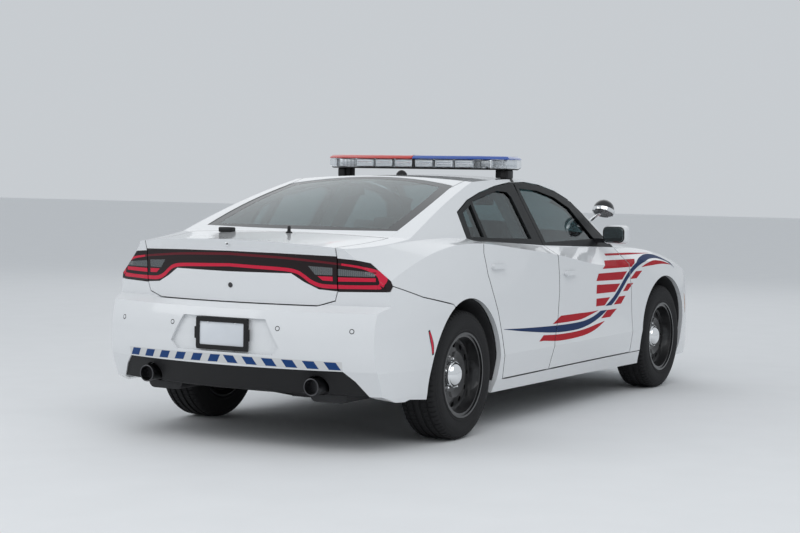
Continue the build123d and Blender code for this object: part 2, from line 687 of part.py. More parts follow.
def rim():
    """Steel wheel, brake disc and centre cap; the outer side faces +Y."""
    cap_and_disc = [
        (0, 88), (44, 82), (72, 56), (76, 34), (98, 36), (130, 54), (186, 40), (202, 44), (214, 104)]
    flanges = [(240, 108), (240, 114), (228, 114), (232.5, 106), (232.5, -106), (240, -112), (228, -116)]
    back_and_brake = [
        (204, -100), (194, 20), (150, 38), (98, 20), (76, 14), (72, -30), (160, -30), (160, -56), (70, -56),
        (70, -70), (0, -70)]
    profile = cap_and_disc + flanges + back_and_brake
    section = Face(Wire.make_polygon([Vector(r, 0, -y) for r, y in profile]))
    solid = Rot(90, 0, 0) * revolve(section, Axis.Z, 360)
    solid -= rod((0, -80, 0), (0, 12, 0), SPINDLE_R + PIN_PLAY)
    for i in range(RIM_HOLES):
        hole = Pos(RIM_HOLE_CIRCLE_R, 40, 0) * Rot(90, 0, 0) * Cylinder(RIM_HOLE_R, 60)
        solid -= Rot(0, i * 360.0 / RIM_HOLES, 0) * hole
    return solid


def knuckle():
    """Steering upright, spindle and caliper, left side, placed about the wheel's centre."""
    solid = rod((0, -116, 0), (0, -78, 0), 60) + rod((0, -80, 0), (0, 4, 0), SPINDLE_R)
    solid += block(-28, 28, -124, -90, -138, 150)
    solid += block(-20, 20, -KINGPIN_IN - 18, -KINGPIN_IN + 18, -138, -100)
    solid -= Pos(0, -KINGPIN_IN, -140) * Cylinder(KINGPIN_R + PIN_PLAY, 56)
    ring = rod((0, -66, 0), (0, -20, 0), 178) - rod((0, -80, 0), (0, 0, 0), 165)
    caliper = ring & block(-190, -90, -80, 0, -70, 70)
    return solid + caliper + block(-178, -20, -100, -76, -40, 40) + block(-180, -164, -100, -50, -40, 40)


def front_suspension():
    """Crossmember with the engine mount, and lower arms with their kingpins."""
    solid = block(1430, 1710, -400, 400, 205, RAIL_Z[0] - SEAT) + block(1530, 1610, -240, 240, 260, 300)
    for y in (-1, 1):
        pivot = y * (WHEEL_Y - KINGPIN_IN)
        solid += rod((1470, y * 395, 222), (1560, pivot, 195), ARM_R)
        solid += rod((1690, y * 395, 222), (1580, pivot, 195), ARM_R)
        solid += Pos(FRONT_AXLE_X, pivot, 200) * Cylinder(22, 20)
        solid += Pos(FRONT_AXLE_X, pivot, 224) * Cylinder(KINGPIN_R, 32)
    return solid


def front_rails():
    """Longitudinal rails, strut towers, upper rails with the fender brackets and the radiator support."""
    solid = block(FIREWALL_FRONT_X + SEAT, NOSE_X, *RAIL_Y, *RAIL_Z) & hull(SKIN + SEAT)
    solid += block(1510, 1630, 400, LINER_INNER_Y - LINER_WALL - SEAT, RAIL_Z[1] - 5, 790)
    solid += block(FIREWALL_FRONT_X + SEAT, 2150, 760, 790, 818, 846) & hull(SKIN + SEAT)
    solid += block(1510, 1630, 400, 790, 806, 830)
    for x in (1300, 1900):
        solid += block(x, x + 40, 785, 1000, 818, 836) & hull(SKIN + SEAT)
    support_x = (1860, 1890)
    solid += block(*support_x, 0, RAIL_Y[1], *RAIL_Z) + block(*support_x, 340, RAIL_Y[1], RAIL_Z[1], 790)
    solid += block(*support_x, 0, 790, 785, 830)
    return solid + other_side(solid)


def rear_suspension():
    """Crossmember with the final drive, half shafts, arms and the rear hubs with their spindles."""
    solid = block(-1640, -1330, -400, 400, 240, 320) + block(-1560, -1400, -90, 90, 300, 415)
    for y in (-1, 1):
        hub = y * (WHEEL_Y - 97)
        solid += rod((REAR_AXLE_X, y * 60, TYRE_R), (REAR_AXLE_X, hub, TYRE_R), SHAFT_R)
        solid += rod((-1380, y * 390, 270), (-1450, y * 690, 300), REAR_ARM_R)
        solid += rod((-1590, y * 390, 270), (-1510, y * 690, 300), REAR_ARM_R)
        solid += rod((REAR_AXLE_X, hub - y * 18, TYRE_R), (REAR_AXLE_X, hub + y * 18, TYRE_R), HUB_R)
        solid += rod((REAR_AXLE_X, hub, TYRE_R), (REAR_AXLE_X, y * (WHEEL_Y + 4), TYRE_R), SPINDLE_R)
    return solid


def engine_block():
    """Engine, radiator and the hose between them."""
    engine = (1120, 1800, -260, 260, 300, 800)
    radiator = (1820, 1860 - SEAT, -335, 335, 356, 780)
    hose = (1790, 1830, -40, 40, 500, 560)
    return blocks([engine, radiator, hose])


def fuel_tank():
    """Saddle tank over the driveshaft."""
    return block(-1240, -1022, -480, 480, 236, 540) - block(-1400, -1000, -135, 135, 200, 300)


def exhaust():
    """Two mufflers on hangers, their tips and the pipes that join under the floor."""
    solid = block(-1720, 1100, -60, 60, 196, 232) + block(-1010, -990, -20, 20, 230, 262)
    for y in (-1, 1):
        muffler = block(-2290, -1960, *sorted((y * 420, y * 650)), 262, 400)
        muffler = fillet(muffler.edges().filter_by(Axis.X), 40)
        inside, outside = TIP_R
        tip = rod((-2280, y * TIP_Y, TIP_Z), (-2462, y * TIP_Y, TIP_Z), outside)
        tip -= rod((-2400, y * TIP_Y, TIP_Z), (-2480, y * TIP_Y, TIP_Z), inside)
        pipe = rod((-1940, y * 470, 300), (-1690, y * 40, 214), 22)
        hanger = rod((-2120, y * TIP_Y, 390), (-2120, y * TIP_Y, 415), 8)
        solid += muffler + tip + pipe + hanger
    return solid


def seat(x, y, width):
    """Cushion and back of a seat, the back 20 mm narrower on each side."""
    low, high = y - width / 2, y + width / 2
    base = [(x - 60, 300), (x - 40, 470), (x + 460, 520), (x + 470, 420), (x + 430, 300)]
    back = [(x - 60, 400), (x + 60, 480), (x - 110, 1060), (x - 200, 1040)]
    return prism("y", base, low, high) + prism("y", back, low + 20, high - 20)


def seats():
    """Two front seats on their runners and the rear bench."""
    pieces = []
    for y in (-370, 370):
        chair = seat(90, y, 470)
        chair += block(-115, -45, y - 110, y + 110, 1050, 1200)
        chair += block(60, 500, y - 200, y + 200, FLOOR_Z[1], 302)
        pieces.append(chair)
    bench = seat(-900, 0, 1240)
    bench = bench - block(-1400, -1000, -800, 800, 200, 570)
    bench += block(-940, -480, -600, 600, FLOOR_Z[1], 302)
    bench -= block(-1000, 1000, -132, 132, 200, 392)
    pieces.append(bench)
    return Compound(children=[s for p in pieces for s in p.solids()])


def dashboard():
    outline = [(1045, 600), (1045, 955), (1000, 975), (820, 965), (720, 900), (700, 800), (760, 640)]
    solid = prism("y", outline, -740, 740) & hull(DOOR + 40)
    return solid + block(60, 780, -115, 115, 390, 620) + block(740, 1000, -110, 110, 390, 700)


def steering_wheel():
    """Wheel and column, which ends in the dashboard."""
    ring = Torus(182, 15) + Box(340, 40, 18) + Cylinder(60, 40)
    column = Pos(0, 0, -130) * Cylinder(32, 260)
    return Pos(560, 370, 880) * Rot(0, -66, 0) * (ring + column) - dashboard()


def spotlight():
    """Left pillar lamp: a dome, its rim and a stem to the pillar."""
    head = Sphere(72) & Pos(0, 0, 60) * Box(200, 200, 120)
    head += Pos(0, 0, -12) * Cylinder(76, 24)
    head = Pos(750, 806, 1262) * Rot(0, 24, 0) * head
    return (head + rod((752, 800, 1262), (738, 690, 1168), 14)) - hull()


def mirror_housing():
    """Left door mirror on its arm."""
    shape = Pos(612, 958, 1106) * Box(96, 168, 122)
    shape = fillet(shape.edges(), 34)
    arm = block(590, 660, 800, 900, 1050, 1078)
    return (shape + arm) - hull()


def light_bar_base():
    solid = prism("z", inset(BAR_PLAN, 14), BAR_Z[0], BAR_Z[1])
    for y in (-1, 1):
        solid += block(BAR_X - 60, BAR_X + 90, *sorted((y * 520, y * 628)), 1430, BAR_Z[0] + 4)
    openings = door_openings()
    return solid - hull() - openings - other_side(openings)


def light_bar_lens():
    return prism("z", BAR_PLAN, BAR_Z[1], BAR_Z[2])


def light_bar_cover(y0, y1):
    cover = loft([Pos(0, 0, BAR_Z[2]) * make_face(Polyline(*[(x, y) for x, y in BAR_PLAN], close=True)),
                  Pos(0, 0, BAR_Z[3]) * make_face(Polyline(*inset(BAR_PLAN, 26), close=True))])
    return cover & block(-600, 0, y0, y1, 1500, 1650)


def plate_holes(radius, depth):
    """Rods for the four holes of a standard plate, from its outer face inward."""
    rods = []
    for y in (-PLATE_HOLES[0] / 2, PLATE_HOLES[0] / 2):
        for z in (-PLATE_HOLES[1] / 2, PLATE_HOLES[1] / 2):
            rods.append(rod((PLATE_X - 10, y, PLATE_Z + z), (PLATE_X + depth, y, PLATE_Z + z), radius))
    return rods


def plate_frame():
    """Blank plate in its frame."""
    plate = Pos(PLATE_X + 5, 0, PLATE_Z) * Box(10, 330, 174)
    solid = plate + Pos(PLATE_X + 11, 0, PLATE_Z) * Box(14, 250, 140)
    for hole in plate_holes(PLATE_HOLE_R, 60):
        solid -= hole
    return solid - hull(20.0)


def fuel_zone(low, high, grow=0.0, front=0.0):
    x0, x1, z0, z1 = FUEL_FLAP
    return block(x0 - grow, x1 + front, low, high, z0 - grow, z1 + grow)


def fuel_door():
    """Fuel flap with its swan neck. The pivot is parallel to the flap, ahead of its front edge."""
    side = [(-4, 0), (-5, -22), (-36, -20), (-36, 10), (-44, 10), (-44, -28), (1, -30), (4, 0)]
    neck = prism("z", side, -10, 10) + Cylinder(4.5, 20) - Cylinder(FUEL_PIN_R + PIN_PLAY, 40)
    return shell(0.0, 5.0, fuel_zone(INNER_Y, WIDE_Y, -GAP, -GAP)) + FUEL_HINGE * neck


def fuel_hinge_room():
    return hull(3.0) & (FUEL_HINGE * block(-50, 12, -42, 60, -16, 16))


def fuel_pocket():
    """Walls behind the fuel flap, and the hinge pin."""
    pocket = shell(SKIN - 2, 76.0, fuel_zone(INNER_Y, WIDE_Y, 10.0, 42.0))
    pocket -= shell(0.0, 70.0, fuel_zone(INNER_Y, WIDE_Y))
    return pocket - fuel_hinge_room() + FUEL_HINGE * Cylinder(FUEL_PIN_R, 46)


def main():
    """Builds every node and writes it to its own file."""
    parts = {}
    left = body_side()
    right = other_side(left)
    left = left - fuel_zone(700, 1100) - fuel_hinge_room() + fuel_pocket()
    parts["body_sides"] = Compound(children=[*left.solids(), *right.solids()])
    parts["roof"] = roof()
    parts["cabin_floor"] = cabin_floor()
    parts["trunk_tub"] = trunk_tub()
    parts["rear_deck"] = rear_deck()
    parts["wheel_liners"] = wheel_liners()
    parts["front_fenders"] = both(front_fender())
    parts["front_bumper"] = front_bumper()
    parts["grille"] = grille()
    parts["headlamps"] = both(headlamp())
    parts["cowl"] = cowl()
    parts["windshield"] = windshield()
    parts["rear_window"] = rear_window()
    parts["rear_bumper"] = rear_bumper()
    parts["rear_valance"] = rear_valance()
    parts["tail_lamps"] = both(corner_lamp())
    parts["plate_frame"] = plate_frame()
    parts["exhaust"] = exhaust()
    parts["engine_block"] = engine_block()
    parts["front_rails"] = front_rails()
    parts["front_suspension"] = front_suspension()
    parts["rear_suspension"] = rear_suspension()
    parts["fuel_tank"] = fuel_tank()
    parts["seats"] = seats()
    parts["dashboard"] = dashboard()
    parts["steering_wheel"] = steering_wheel()
    parts["spotlights"] = both(spotlight())
    parts["light_bar_base"] = light_bar_base()
    parts["light_bar_lens"] = light_bar_lens()
    parts["light_bar_red"] = light_bar_cover(1, 700)
    parts["light_bar_blue"] = light_bar_cover(-700, -1)
    parts["hood"] = hood()
    parts["trunk_lid"] = trunk_lid()
    parts["trunk_lamp"] = trunk_lamp()
    parts["fuel_door"] = fuel_door()
    for name, (panel, panes) in {"front": front_door(), "rear": rear_door()}.items():
        parts[f"door_{name}_left"] = panel
        parts[f"door_{name}_right"] = other_side(panel)
        parts[f"glass_{name}_left"] = panes
        parts[f"glass_{name}_right"] = other_side(panes)
    parts["mirror_left"] = mirror_housing()
    parts["mirror_right"] = other_side(mirror_housing())
    for end, axle_x in (("front", FRONT_AXLE_X), ("rear", REAR_AXLE_X)):
        for side, turn in (("left", 1.0), ("right", -1.0)):
            spot = Pos(axle_x, turn * WHEEL_Y, TYRE_R)
            flip = Rot(0, 0, 0) if turn > 0 else Rot(0, 0, 180)
            parts[f"tyre_{end}_{side}"] = spot * tyre()
            parts[f"rim_{end}_{side}"] = spot * flip * rim()
    upright = Pos(FRONT_AXLE_X, WHEEL_Y, TYRE_R) * knuckle()
    parts["knuckle_left"] = upright
    parts["knuckle_right"] = other_side(upright)
    os.makedirs("parts", exist_ok=True)
    for name, shape in parts.items():
        solids = shape.solids()
        whole = solids[0] if len(solids) == 1 else Compound(children=list(solids))
        export_step(whole, f"parts/{name}.step")


if __name__ == "__main__":
    main()
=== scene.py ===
"""Police patrol car: finishes, livery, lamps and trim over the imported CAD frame.
Blender works in metres, +X forward, +Y left, +Z up. Tables of shapes are in millimetres."""
import functools
import math

import bmesh
import bpy
from mathutils import Matrix, Vector
from mathutils.bvhtree import BVHTree
from mathutils.interpolate import poly_3d_calc


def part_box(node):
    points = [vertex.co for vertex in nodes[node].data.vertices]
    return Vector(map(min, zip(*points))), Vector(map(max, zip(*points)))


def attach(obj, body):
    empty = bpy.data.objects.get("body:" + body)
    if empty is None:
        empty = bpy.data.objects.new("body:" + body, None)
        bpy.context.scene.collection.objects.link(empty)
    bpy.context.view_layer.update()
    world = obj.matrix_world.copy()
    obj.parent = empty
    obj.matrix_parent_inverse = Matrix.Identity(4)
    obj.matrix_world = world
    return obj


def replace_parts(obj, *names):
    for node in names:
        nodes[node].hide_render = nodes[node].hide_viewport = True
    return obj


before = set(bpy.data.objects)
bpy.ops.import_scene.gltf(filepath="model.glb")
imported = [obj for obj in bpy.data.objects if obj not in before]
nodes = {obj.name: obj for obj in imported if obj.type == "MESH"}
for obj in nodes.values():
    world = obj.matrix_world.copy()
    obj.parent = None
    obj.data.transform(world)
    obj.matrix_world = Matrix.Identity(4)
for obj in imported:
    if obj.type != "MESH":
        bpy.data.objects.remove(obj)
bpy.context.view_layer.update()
MM = 0.001
SIDES = {"left": 1.0, "right": -1.0}


# Materials

# Colour sockets of the mix node
MIX_A, MIX_B, MIX_RESULT = 6, 7, 2
# Pitch of a wave texture's bands at scale 1, in metres
WAVE_PITCH = 0.314


def set_inputs(node, **values):
    """The node, with values for the inputs named."""
    for name, value in values.items():
        node.inputs[name.replace("_", " ")].default_value = value
    return node


def add_node(tree, kind, **values):
    """New node of a material, with values for the inputs named."""
    return set_inputs(tree.nodes.new(f"ShaderNode{kind}"), **values)


def relief(tree, texture, strength, distance):
    """Surface relief of a material, from a texture's height."""
    bump = add_node(tree, "Bump", Strength=strength, Distance=distance)
    tree.links.new(texture.outputs["Fac"], bump.inputs["Height"])
    tree.links.new(bump.outputs["Normal"], tree.nodes["Principled BSDF"].inputs["Normal"])


def shader(name, color, rough=0.5, metal=0.0, vary=0.04, grain=60.0, bump=0.0, bump_scale=400.0,
           rough_vary=0.06, **sockets):
    """Principled material whose colour and roughness vary a little over the surface."""
    material = bpy.data.materials.new(name)
    material.use_nodes = True
    tree = material.node_tree
    bsdf = set_inputs(tree.nodes["Principled BSDF"], Metallic=metal, **sockets)
    place = add_node(tree, "TexCoord")
    noise = add_node(tree, "TexNoise", Scale=grain, Detail=4.0)
    tree.links.new(place.outputs["Object"], noise.inputs["Vector"])
    mix = add_node(tree, "Mix")
    mix.data_type = "RGBA"
    mix.inputs[MIX_A].default_value = [c * (1 - vary) for c in color] + [1]
    mix.inputs[MIX_B].default_value = [min(1.0, c * (1 + vary)) for c in color] + [1]
    tree.links.new(noise.outputs["Fac"], mix.inputs[0])
    tree.links.new(mix.outputs[MIX_RESULT], bsdf.inputs["Base Color"])
    spread = add_node(tree, "MapRange", To_Min=max(0.0, rough - rough_vary),
                      To_Max=min(1.0, rough + rough_vary))
    tree.links.new(noise.outputs["Fac"], spread.inputs["Value"])
    tree.links.new(spread.outputs["Result"], bsdf.inputs["Roughness"])
    if bump:
        fine = add_node(tree, "TexNoise", Scale=bump_scale)
        tree.links.new(place.outputs["Object"], fine.inputs["Vector"])
        relief(tree, fine, bump, MM)
    return material


def fluted(name, color, pitch, rough):
    """Reflector with fine flutes, pitch apart."""
    material = shader(name, color, rough, metal=1.0, vary=0.05)
    tree = material.node_tree
    place = add_node(tree, "TexCoord")
    wave = add_node(tree, "TexWave", Scale=WAVE_PITCH / pitch)
    wave.bands_direction = "Y"
    tree.links.new(place.outputs["Object"], wave.inputs["Vector"])
    relief(tree, wave, 0.8, pitch / 3)
    return material


WHITE = shader("paint_white", (0.74, 0.755, 0.77), 0.30, vary=0.012, grain=5.0, rough_vary=0.03, bump=0.03,
               bump_scale=180.0, Coat_Weight=1.0, Coat_Roughness=0.03)
TRIM = shader("trim_black_gloss", (0.012, 0.012, 0.014), 0.14, vary=0.2, rough_vary=0.04, Coat_Weight=0.4)
PLASTIC = shader("plastic_black", (0.013, 0.013, 0.014), 0.55, vary=0.15, bump=0.4, bump_scale=900.0,
                 Specular_IOR_Level=0.28)
FRAME = shader("window_frame", (0.010, 0.011, 0.012), 0.45, vary=0.12, grain=25.0, bump=0.15,
               bump_scale=1200.0, Specular_IOR_Level=0.18)
SATIN = shader("satin_black", (0.010, 0.010, 0.011), 0.40, vary=0.15, bump=0.2, bump_scale=1100.0,
               Specular_IOR_Level=0.3)
RUBBER = shader("rubber", (0.014, 0.014, 0.015), 0.78, vary=0.3, grain=90.0, bump=0.5, bump_scale=700.0,
                Specular_IOR_Level=0.3)
STEEL = shader("steel_black", (0.014, 0.014, 0.015), 0.30, metal=0.2, vary=0.2, grain=40.0, Coat_Weight=0.6)
CHROME = shader("chrome", (0.86, 0.87, 0.88), 0.07, metal=1.0, vary=0.02, rough_vary=0.02)
CAST = shader("cast_metal", (0.30, 0.31, 0.32), 0.5, metal=0.9, vary=0.15, grain=30.0, bump=0.4)
PIPE = shader("exhaust_steel", (0.055, 0.055, 0.057), 0.55, metal=0.9, vary=0.2, grain=30.0, bump=0.3)
TIP = shader("exhaust_tip", (0.10, 0.10, 0.105), 0.35, metal=1.0, vary=0.3, grain=18.0)
UNDER = shader("underbody", (0.03, 0.03, 0.032), 0.75, vary=0.3, grain=25.0, bump=0.6, bump_scale=250.0)
CARPET = shader("carpet", (0.028, 0.028, 0.030), 0.95, vary=0.4, grain=700.0, bump=0.9, bump_scale=1800.0)
LINER = shader("headliner", (0.30, 0.30, 0.29), 0.9, vary=0.08, grain=300.0, bump=0.4, bump_scale=1500.0)
CLOTH = shader("seat_cloth", (0.040, 0.041, 0.046), 0.9, vary=0.3, grain=500.0, bump=0.7, bump_scale=1500.0)
GLASS = shader("glass_tinted", (0.24, 0.34, 0.35), 0.01, vary=0.01, rough_vary=0.0, Transmission_Weight=1.0,
               IOR=1.45)
FRIT = shader("glass_edge", (0.020, 0.023, 0.025), 0.14, vary=0.1, Specular_IOR_Level=0.4)
CLEAR = shader("lens_clear", (0.94, 0.96, 0.98), 0.03, vary=0.01, rough_vary=0.01, Transmission_Weight=1.0,
               IOR=1.10, Coat_Weight=0.6)
LENS_RED = shader("lens_red", (0.62, 0.030, 0.022), 0.10, vary=0.05, Transmission_Weight=0.15,
                  Coat_Weight=0.8)
LENS_BLUE = shader("lens_blue", (0.016, 0.085, 0.42), 0.10, vary=0.05, Transmission_Weight=0.15,
                   Coat_Weight=0.8)
LAMP_DARK = shader("lamp_dark", (0.010, 0.003, 0.004), 0.08, vary=0.1, Specular_IOR_Level=0.3)
LAMP_RED = shader("lamp_red", (0.58, 0.006, 0.040), 0.16, vary=0.08, grain=80.0, Specular_IOR_Level=0.35)
LAMP_DEEP = shader("lamp_deep_red", (0.11, 0.003, 0.010), 0.14, vary=0.1, Specular_IOR_Level=0.3)
AMBER = shader("lamp_amber", (0.62, 0.20, 0.012), 0.16, vary=0.08, grain=80.0, Specular_IOR_Level=0.35)
REFLECTOR = fluted("lamp_reflector", (0.17, 0.18, 0.185), 0.010, 0.18)
SILVER = fluted("bar_reflector", (0.80, 0.82, 0.84), 0.008, 0.12)
BLUE = shader("livery_blue", (0.009, 0.030, 0.105), 0.45, vary=0.03, Specular_IOR_Level=0.08)
RED = shader("livery_red", (0.42, 0.010, 0.020), 0.45, vary=0.04, Specular_IOR_Level=0.08)
STRIP = shader("strip_white", (0.62, 0.63, 0.63), 0.35, vary=0.03, grain=300.0, Coat_Weight=0.4)
STRIP_BLUE = shader("strip_blue", (0.008, 0.048, 0.180), 0.36, vary=0.04, Specular_IOR_Level=0.2)
PLATE = shader("plate_white", (0.66, 0.69, 0.73), 0.35, vary=0.03, grain=20.0, Coat_Weight=0.3)
SCREEN = shader("screen", (0.008, 0.010, 0.012), 0.08, vary=0.1, Coat_Weight=1.0)
MIRROR = shader("mirror_glass", (0.30, 0.34, 0.35), 0.03, metal=1.0, vary=0.02, rough_vary=0.01)


# Meshes

SHARP = math.radians(38)
CHAMFER = 1.0


def placed(name, data):
    """New object in the scene."""
    thing = bpy.data.objects.new(name, data)
    bpy.context.scene.collection.objects.link(thing)
    return thing


def add(name, bm, material, body="body"):
    """Piece from a bmesh, riding on a body."""
    mesh = bpy.data.meshes.new(name)
    bmesh.ops.recalc_face_normals(bm, faces=bm.faces)
    bm.to_mesh(mesh)
    bm.free()
    mesh.materials.append(material)
    for polygon in mesh.polygons:
        polygon.use_smooth = True
    mesh.set_sharp_from_angle(angle=SHARP)
    piece = placed(name, mesh)
    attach(piece, body)
    return piece


def round_ring(bm, centre, across, beside, radius, count):
    """Ring of points about a centre in metres, with the radius in millimetres."""
    ring = []
    for k in range(count):
        angle = 2 * math.pi * k / count
        spoke = across * math.cos(angle) + beside * math.sin(angle)
        ring.append(bm.verts.new(centre + spoke * radius * MM))
    return ring


def join_rings(bm, rings, capped=False):
    """Faces between successive rings, of which some may be one point, and over both ends if capped."""
    count = max(len(ring) for ring in rings)
    for low, high in zip(rings, rings[1:]):
        for k in range(count):
            after = (k + 1) % count
            corners = [low[k % len(low)], low[after % len(low)], high[after % len(high)], high[k % len(high)]]
            corners = list(dict.fromkeys(corners))
            if len(corners) > 2:
                bm.faces.new(corners)
    if capped:
        bm.faces.new(rings[0])
        bm.faces.new(rings[-1])


def turned(name, profile, place, axis, material, body="body", count=48):
    """Turned piece: profile is a list of (radius, height) in millimetres, along axis from place in metres."""
    bm = bmesh.new()
    up = Vector(axis).normalized()
    across = up.orthogonal().normalized()
    beside = up.cross(across)
    rings = [round_ring(bm, Vector(place) + up * height * MM, across, beside, radius, count if radius else 1)
             for radius, height in profile]
    join_rings(bm, rings)
    return add(name, bm, material, body)


def tube(name, points, radius, material, count=10):
    """Round bar of the given radius in millimetres along points in metres."""
    bm = bmesh.new()
    rings = []
    for i, point in enumerate(points):
        way = (points[min(i + 1, len(points) - 1)] - points[max(i - 1, 0)]).normalized()
        across = way.cross(Vector((0, 0.2, 1))).normalized()
        rings.append(round_ring(bm, point, across, way.cross(across), radius, count))
    join_rings(bm, rings, capped=True)
    return add(name, bm, material)


def rounded_block(name, middle, half, heights, radius, material, body="body", turn=0.0, segments=3):
    """Box with rounded edges, turned about its upright axis, in millimetres. middle and half are its
    place and half sizes along X and Y, heights its bottom and top."""
    low, high = heights
    bm = bmesh.new()
    bmesh.ops.create_cube(bm, size=1.0)
    bmesh.ops.scale(bm, vec=Vector((2 * half[0], 2 * half[1], high - low)) * MM, verts=bm.verts)
    bmesh.ops.bevel(bm, geom=bm.edges, offset=radius * MM, segments=segments, profile=0.5, affect="EDGES")
    bmesh.ops.rotate(bm, matrix=Matrix.Rotation(turn, 3, "Z"), verts=bm.verts)
    bmesh.ops.translate(bm, vec=Vector((*middle, (low + high) / 2)) * MM, verts=bm.verts)
    return add(name, bm, material, body)


def rounded_outline(half_u, half_v, corner, steps=6):
    """Points round a rectangle with rounded corners."""
    points = []
    for i, (u, v) in enumerate(((1, 1), (-1, 1), (-1, -1), (1, -1))):
        for k in range(steps + 1):
            angle = math.pi / 2 * (i + k / steps)
            points.append((u * (half_u - corner) + corner * math.cos(angle),
                           v * (half_v - corner) + corner * math.sin(angle)))
    return points


def rounded_plate(name, centre, width, height, depth, corner, material, body="body"):
    """Plate that faces backward: width along Y, height along Z, depth along X, in millimetres."""
    bm = bmesh.new()
    outline = rounded_outline(width / 2, height / 2, corner)
    rings = []
    for share, shrink in ((0.5, 0.0), (-0.5 + CHAMFER / depth, 0.0), (-0.5, CHAMFER)):
        scale_y, scale_z = 1 - 2 * shrink / width, 1 - 2 * shrink / height
        rings.append([bm.verts.new((share * depth * MM, y * scale_y * MM, z * scale_z * MM))
                      for y, z in outline])
    join_rings(bm, rings, capped=True)
    bmesh.ops.translate(bm, vec=Vector(centre) * MM, verts=bm.verts)
    return add(name, bm, material, body)


# Films: thin pieces that lie on a CAD surface, cut out by convex shapes seen along an axis

# For each view the axes across, up and along the look, and how far out a surface starts
VIEWS = {"side": (0, 2, 1, 0.5), "tail": (1, 2, 0, 1.7), "top": (0, 1, 2, 1.0), "nose": (1, 2, 0, 1.9)}
FACING, MERGE, CLEAR_OF, COVER_REACH = 0.12, 0.00003, 0.003, 0.25


@functools.cache
def whole(node):
    """Search tree of all the faces of a CAD node."""
    mesh = nodes[node].data
    return BVHTree.FromPolygons([v.co for v in mesh.vertices], [list(p.vertices) for p in mesh.polygons])


def hit(node, point, way):
    """Where a ray from point meets a CAD node."""
    return whole(node).ray_cast(Vector(point), Vector(way))[0]


def above(node, x, y):
    """Where a CAD node is met from above."""
    return hit(node, (x, y, 3), (0, 0, -1))


def behind(node, y, z):
    """Where a CAD node is met from behind."""
    return hit(node, (-3, y, z), (1, 0, 0))


class Surface:
    """The faces of a CAD node that look one way, with their boxes and corner normals."""

    def __init__(self, node, view, sign):
        mesh = nodes[node].data
        self.u, self.v, self.w, beyond = VIEWS[view]
        self.look = Vector([sign if i == self.w else 0.0 for i in range(3)])
        self.whole = whole(node)
        points = [vertex.co.copy() for vertex in mesh.vertices]
        self.faces, self.normals, self.boxes, kept = [], [], [], []
        for polygon in mesh.polygons:
            if polygon.normal.dot(self.look) < FACING or polygon.center[self.w] * sign < beyond:
                continue
            corners = [points[i] for i in polygon.vertices]
            kept.append(list(polygon.vertices))
            self.faces.append(corners)
            self.normals.append([mesh.corner_normals[i].vector.copy() for i in polygon.loop_indices])
            self.boxes.append((min(c[self.u] for c in corners), max(c[self.u] for c in corners),
                               min(c[self.v] for c in corners), max(c[self.v] for c in corners)))
        self.tree = BVHTree.FromPolygons(points, kept) if kept else None

    def normal(self, point):
        """Smooth normal at a point of the surface."""
        _, _, i, _ = self.tree.find_nearest(point)
        weights = poly_3d_calc(self.faces[i], point)
        return sum((n * w for n, w in zip(self.normals[i], weights)), Vector()).normalized()

    def cut(self, shape):
        """The pieces of the surface inside one convex shape, given as (u, v) points in metres."""
        area = sum(a[0] * b[1] - b[0] * a[1] for a, b in zip(shape, shape[1:] + shape[:1]))
        if area < 0:
            shape = shape[::-1]
        low_u, high_u = min(p[0] for p in shape), max(p[0] for p in shape)
        low_v, high_v = min(p[1] for p in shape), max(p[1] for p in shape)
        pieces = []
        for corners, box in zip(self.faces, self.boxes):
            if box[0] > high_u or box[1] < low_u or box[2] > high_v or box[3] < low_v:
                continue
            part = corners
            for a, b in zip(shape, shape[1:] + shape[:1]):
                part = self.clip(part, a, b)
                if len(part) < 3:
                    break
            if len(part) >= 3 and not self.hidden(part):
                pieces.append(part)
        return pieces

    def clip(self, part, a, b):
        """The part left of the line from a to b, as seen in the view."""
        depths = [(b[0] - a[0]) * (p[self.v] - a[1]) - (b[1] - a[1]) * (p[self.u] - a[0]) for p in part]
        kept = []
        for i, point in enumerate(part):
            before, depth_before = part[i - 1], depths[i - 1]
            if (depths[i] > 0) != (depth_before > 0):
                kept.append(before + (point - before) * (depth_before / (depth_before - depths[i])))
            if depths[i] > 0:
                kept.append(point)
        return kept

    def hidden(self, part):
        """Whether the node itself covers a part in the view."""
        centre = sum(part, Vector()) / len(part)
        return self.whole.ray_cast(centre + self.look * CLEAR_OF, self.look, COVER_REACH)[0] is not None


surface = functools.cache(Surface)


def film(name, node, view, sign, shapes, material, body="body", lift=0.4):
    """Thin piece on a CAD surface, inside convex shapes in millimetres seen along an axis."""
    base = surface(node, view, sign)
    bm = bmesh.new()
    for shape in shapes:
        for part in base.cut([(u * MM, v * MM) for u, v in shape]):
            bm.faces.new([bm.verts.new(p) for p in part])
    bmesh.ops.remove_doubles(bm, verts=bm.verts, dist=MERGE)
    if not bm.faces:
        bm.free()
        return
    mesh = bpy.data.meshes.new(name)
    bm.to_mesh(mesh)
    bm.free()
    normals = [base.normal(vertex.co) for vertex in mesh.vertices]
    for vertex, normal in zip(mesh.vertices, normals):
        vertex.co += normal * lift * MM
    for polygon in mesh.polygons:
        polygon.use_smooth = True
    mesh.normals_split_custom_set_from_vertices(normals)
    mesh.materials.append(material)
    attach(placed(name, mesh), body)


def through(p, q, r, s, t):
    """Value at share t between q and r of a smooth curve through p, q, r and s."""
    bend, twist = 2 * p - 5 * q + 4 * r - s, 3 * q - p - 3 * r + s
    return 0.5 * (2 * q + (r - p) * t + bend * t ** 2 + twist * t ** 3)


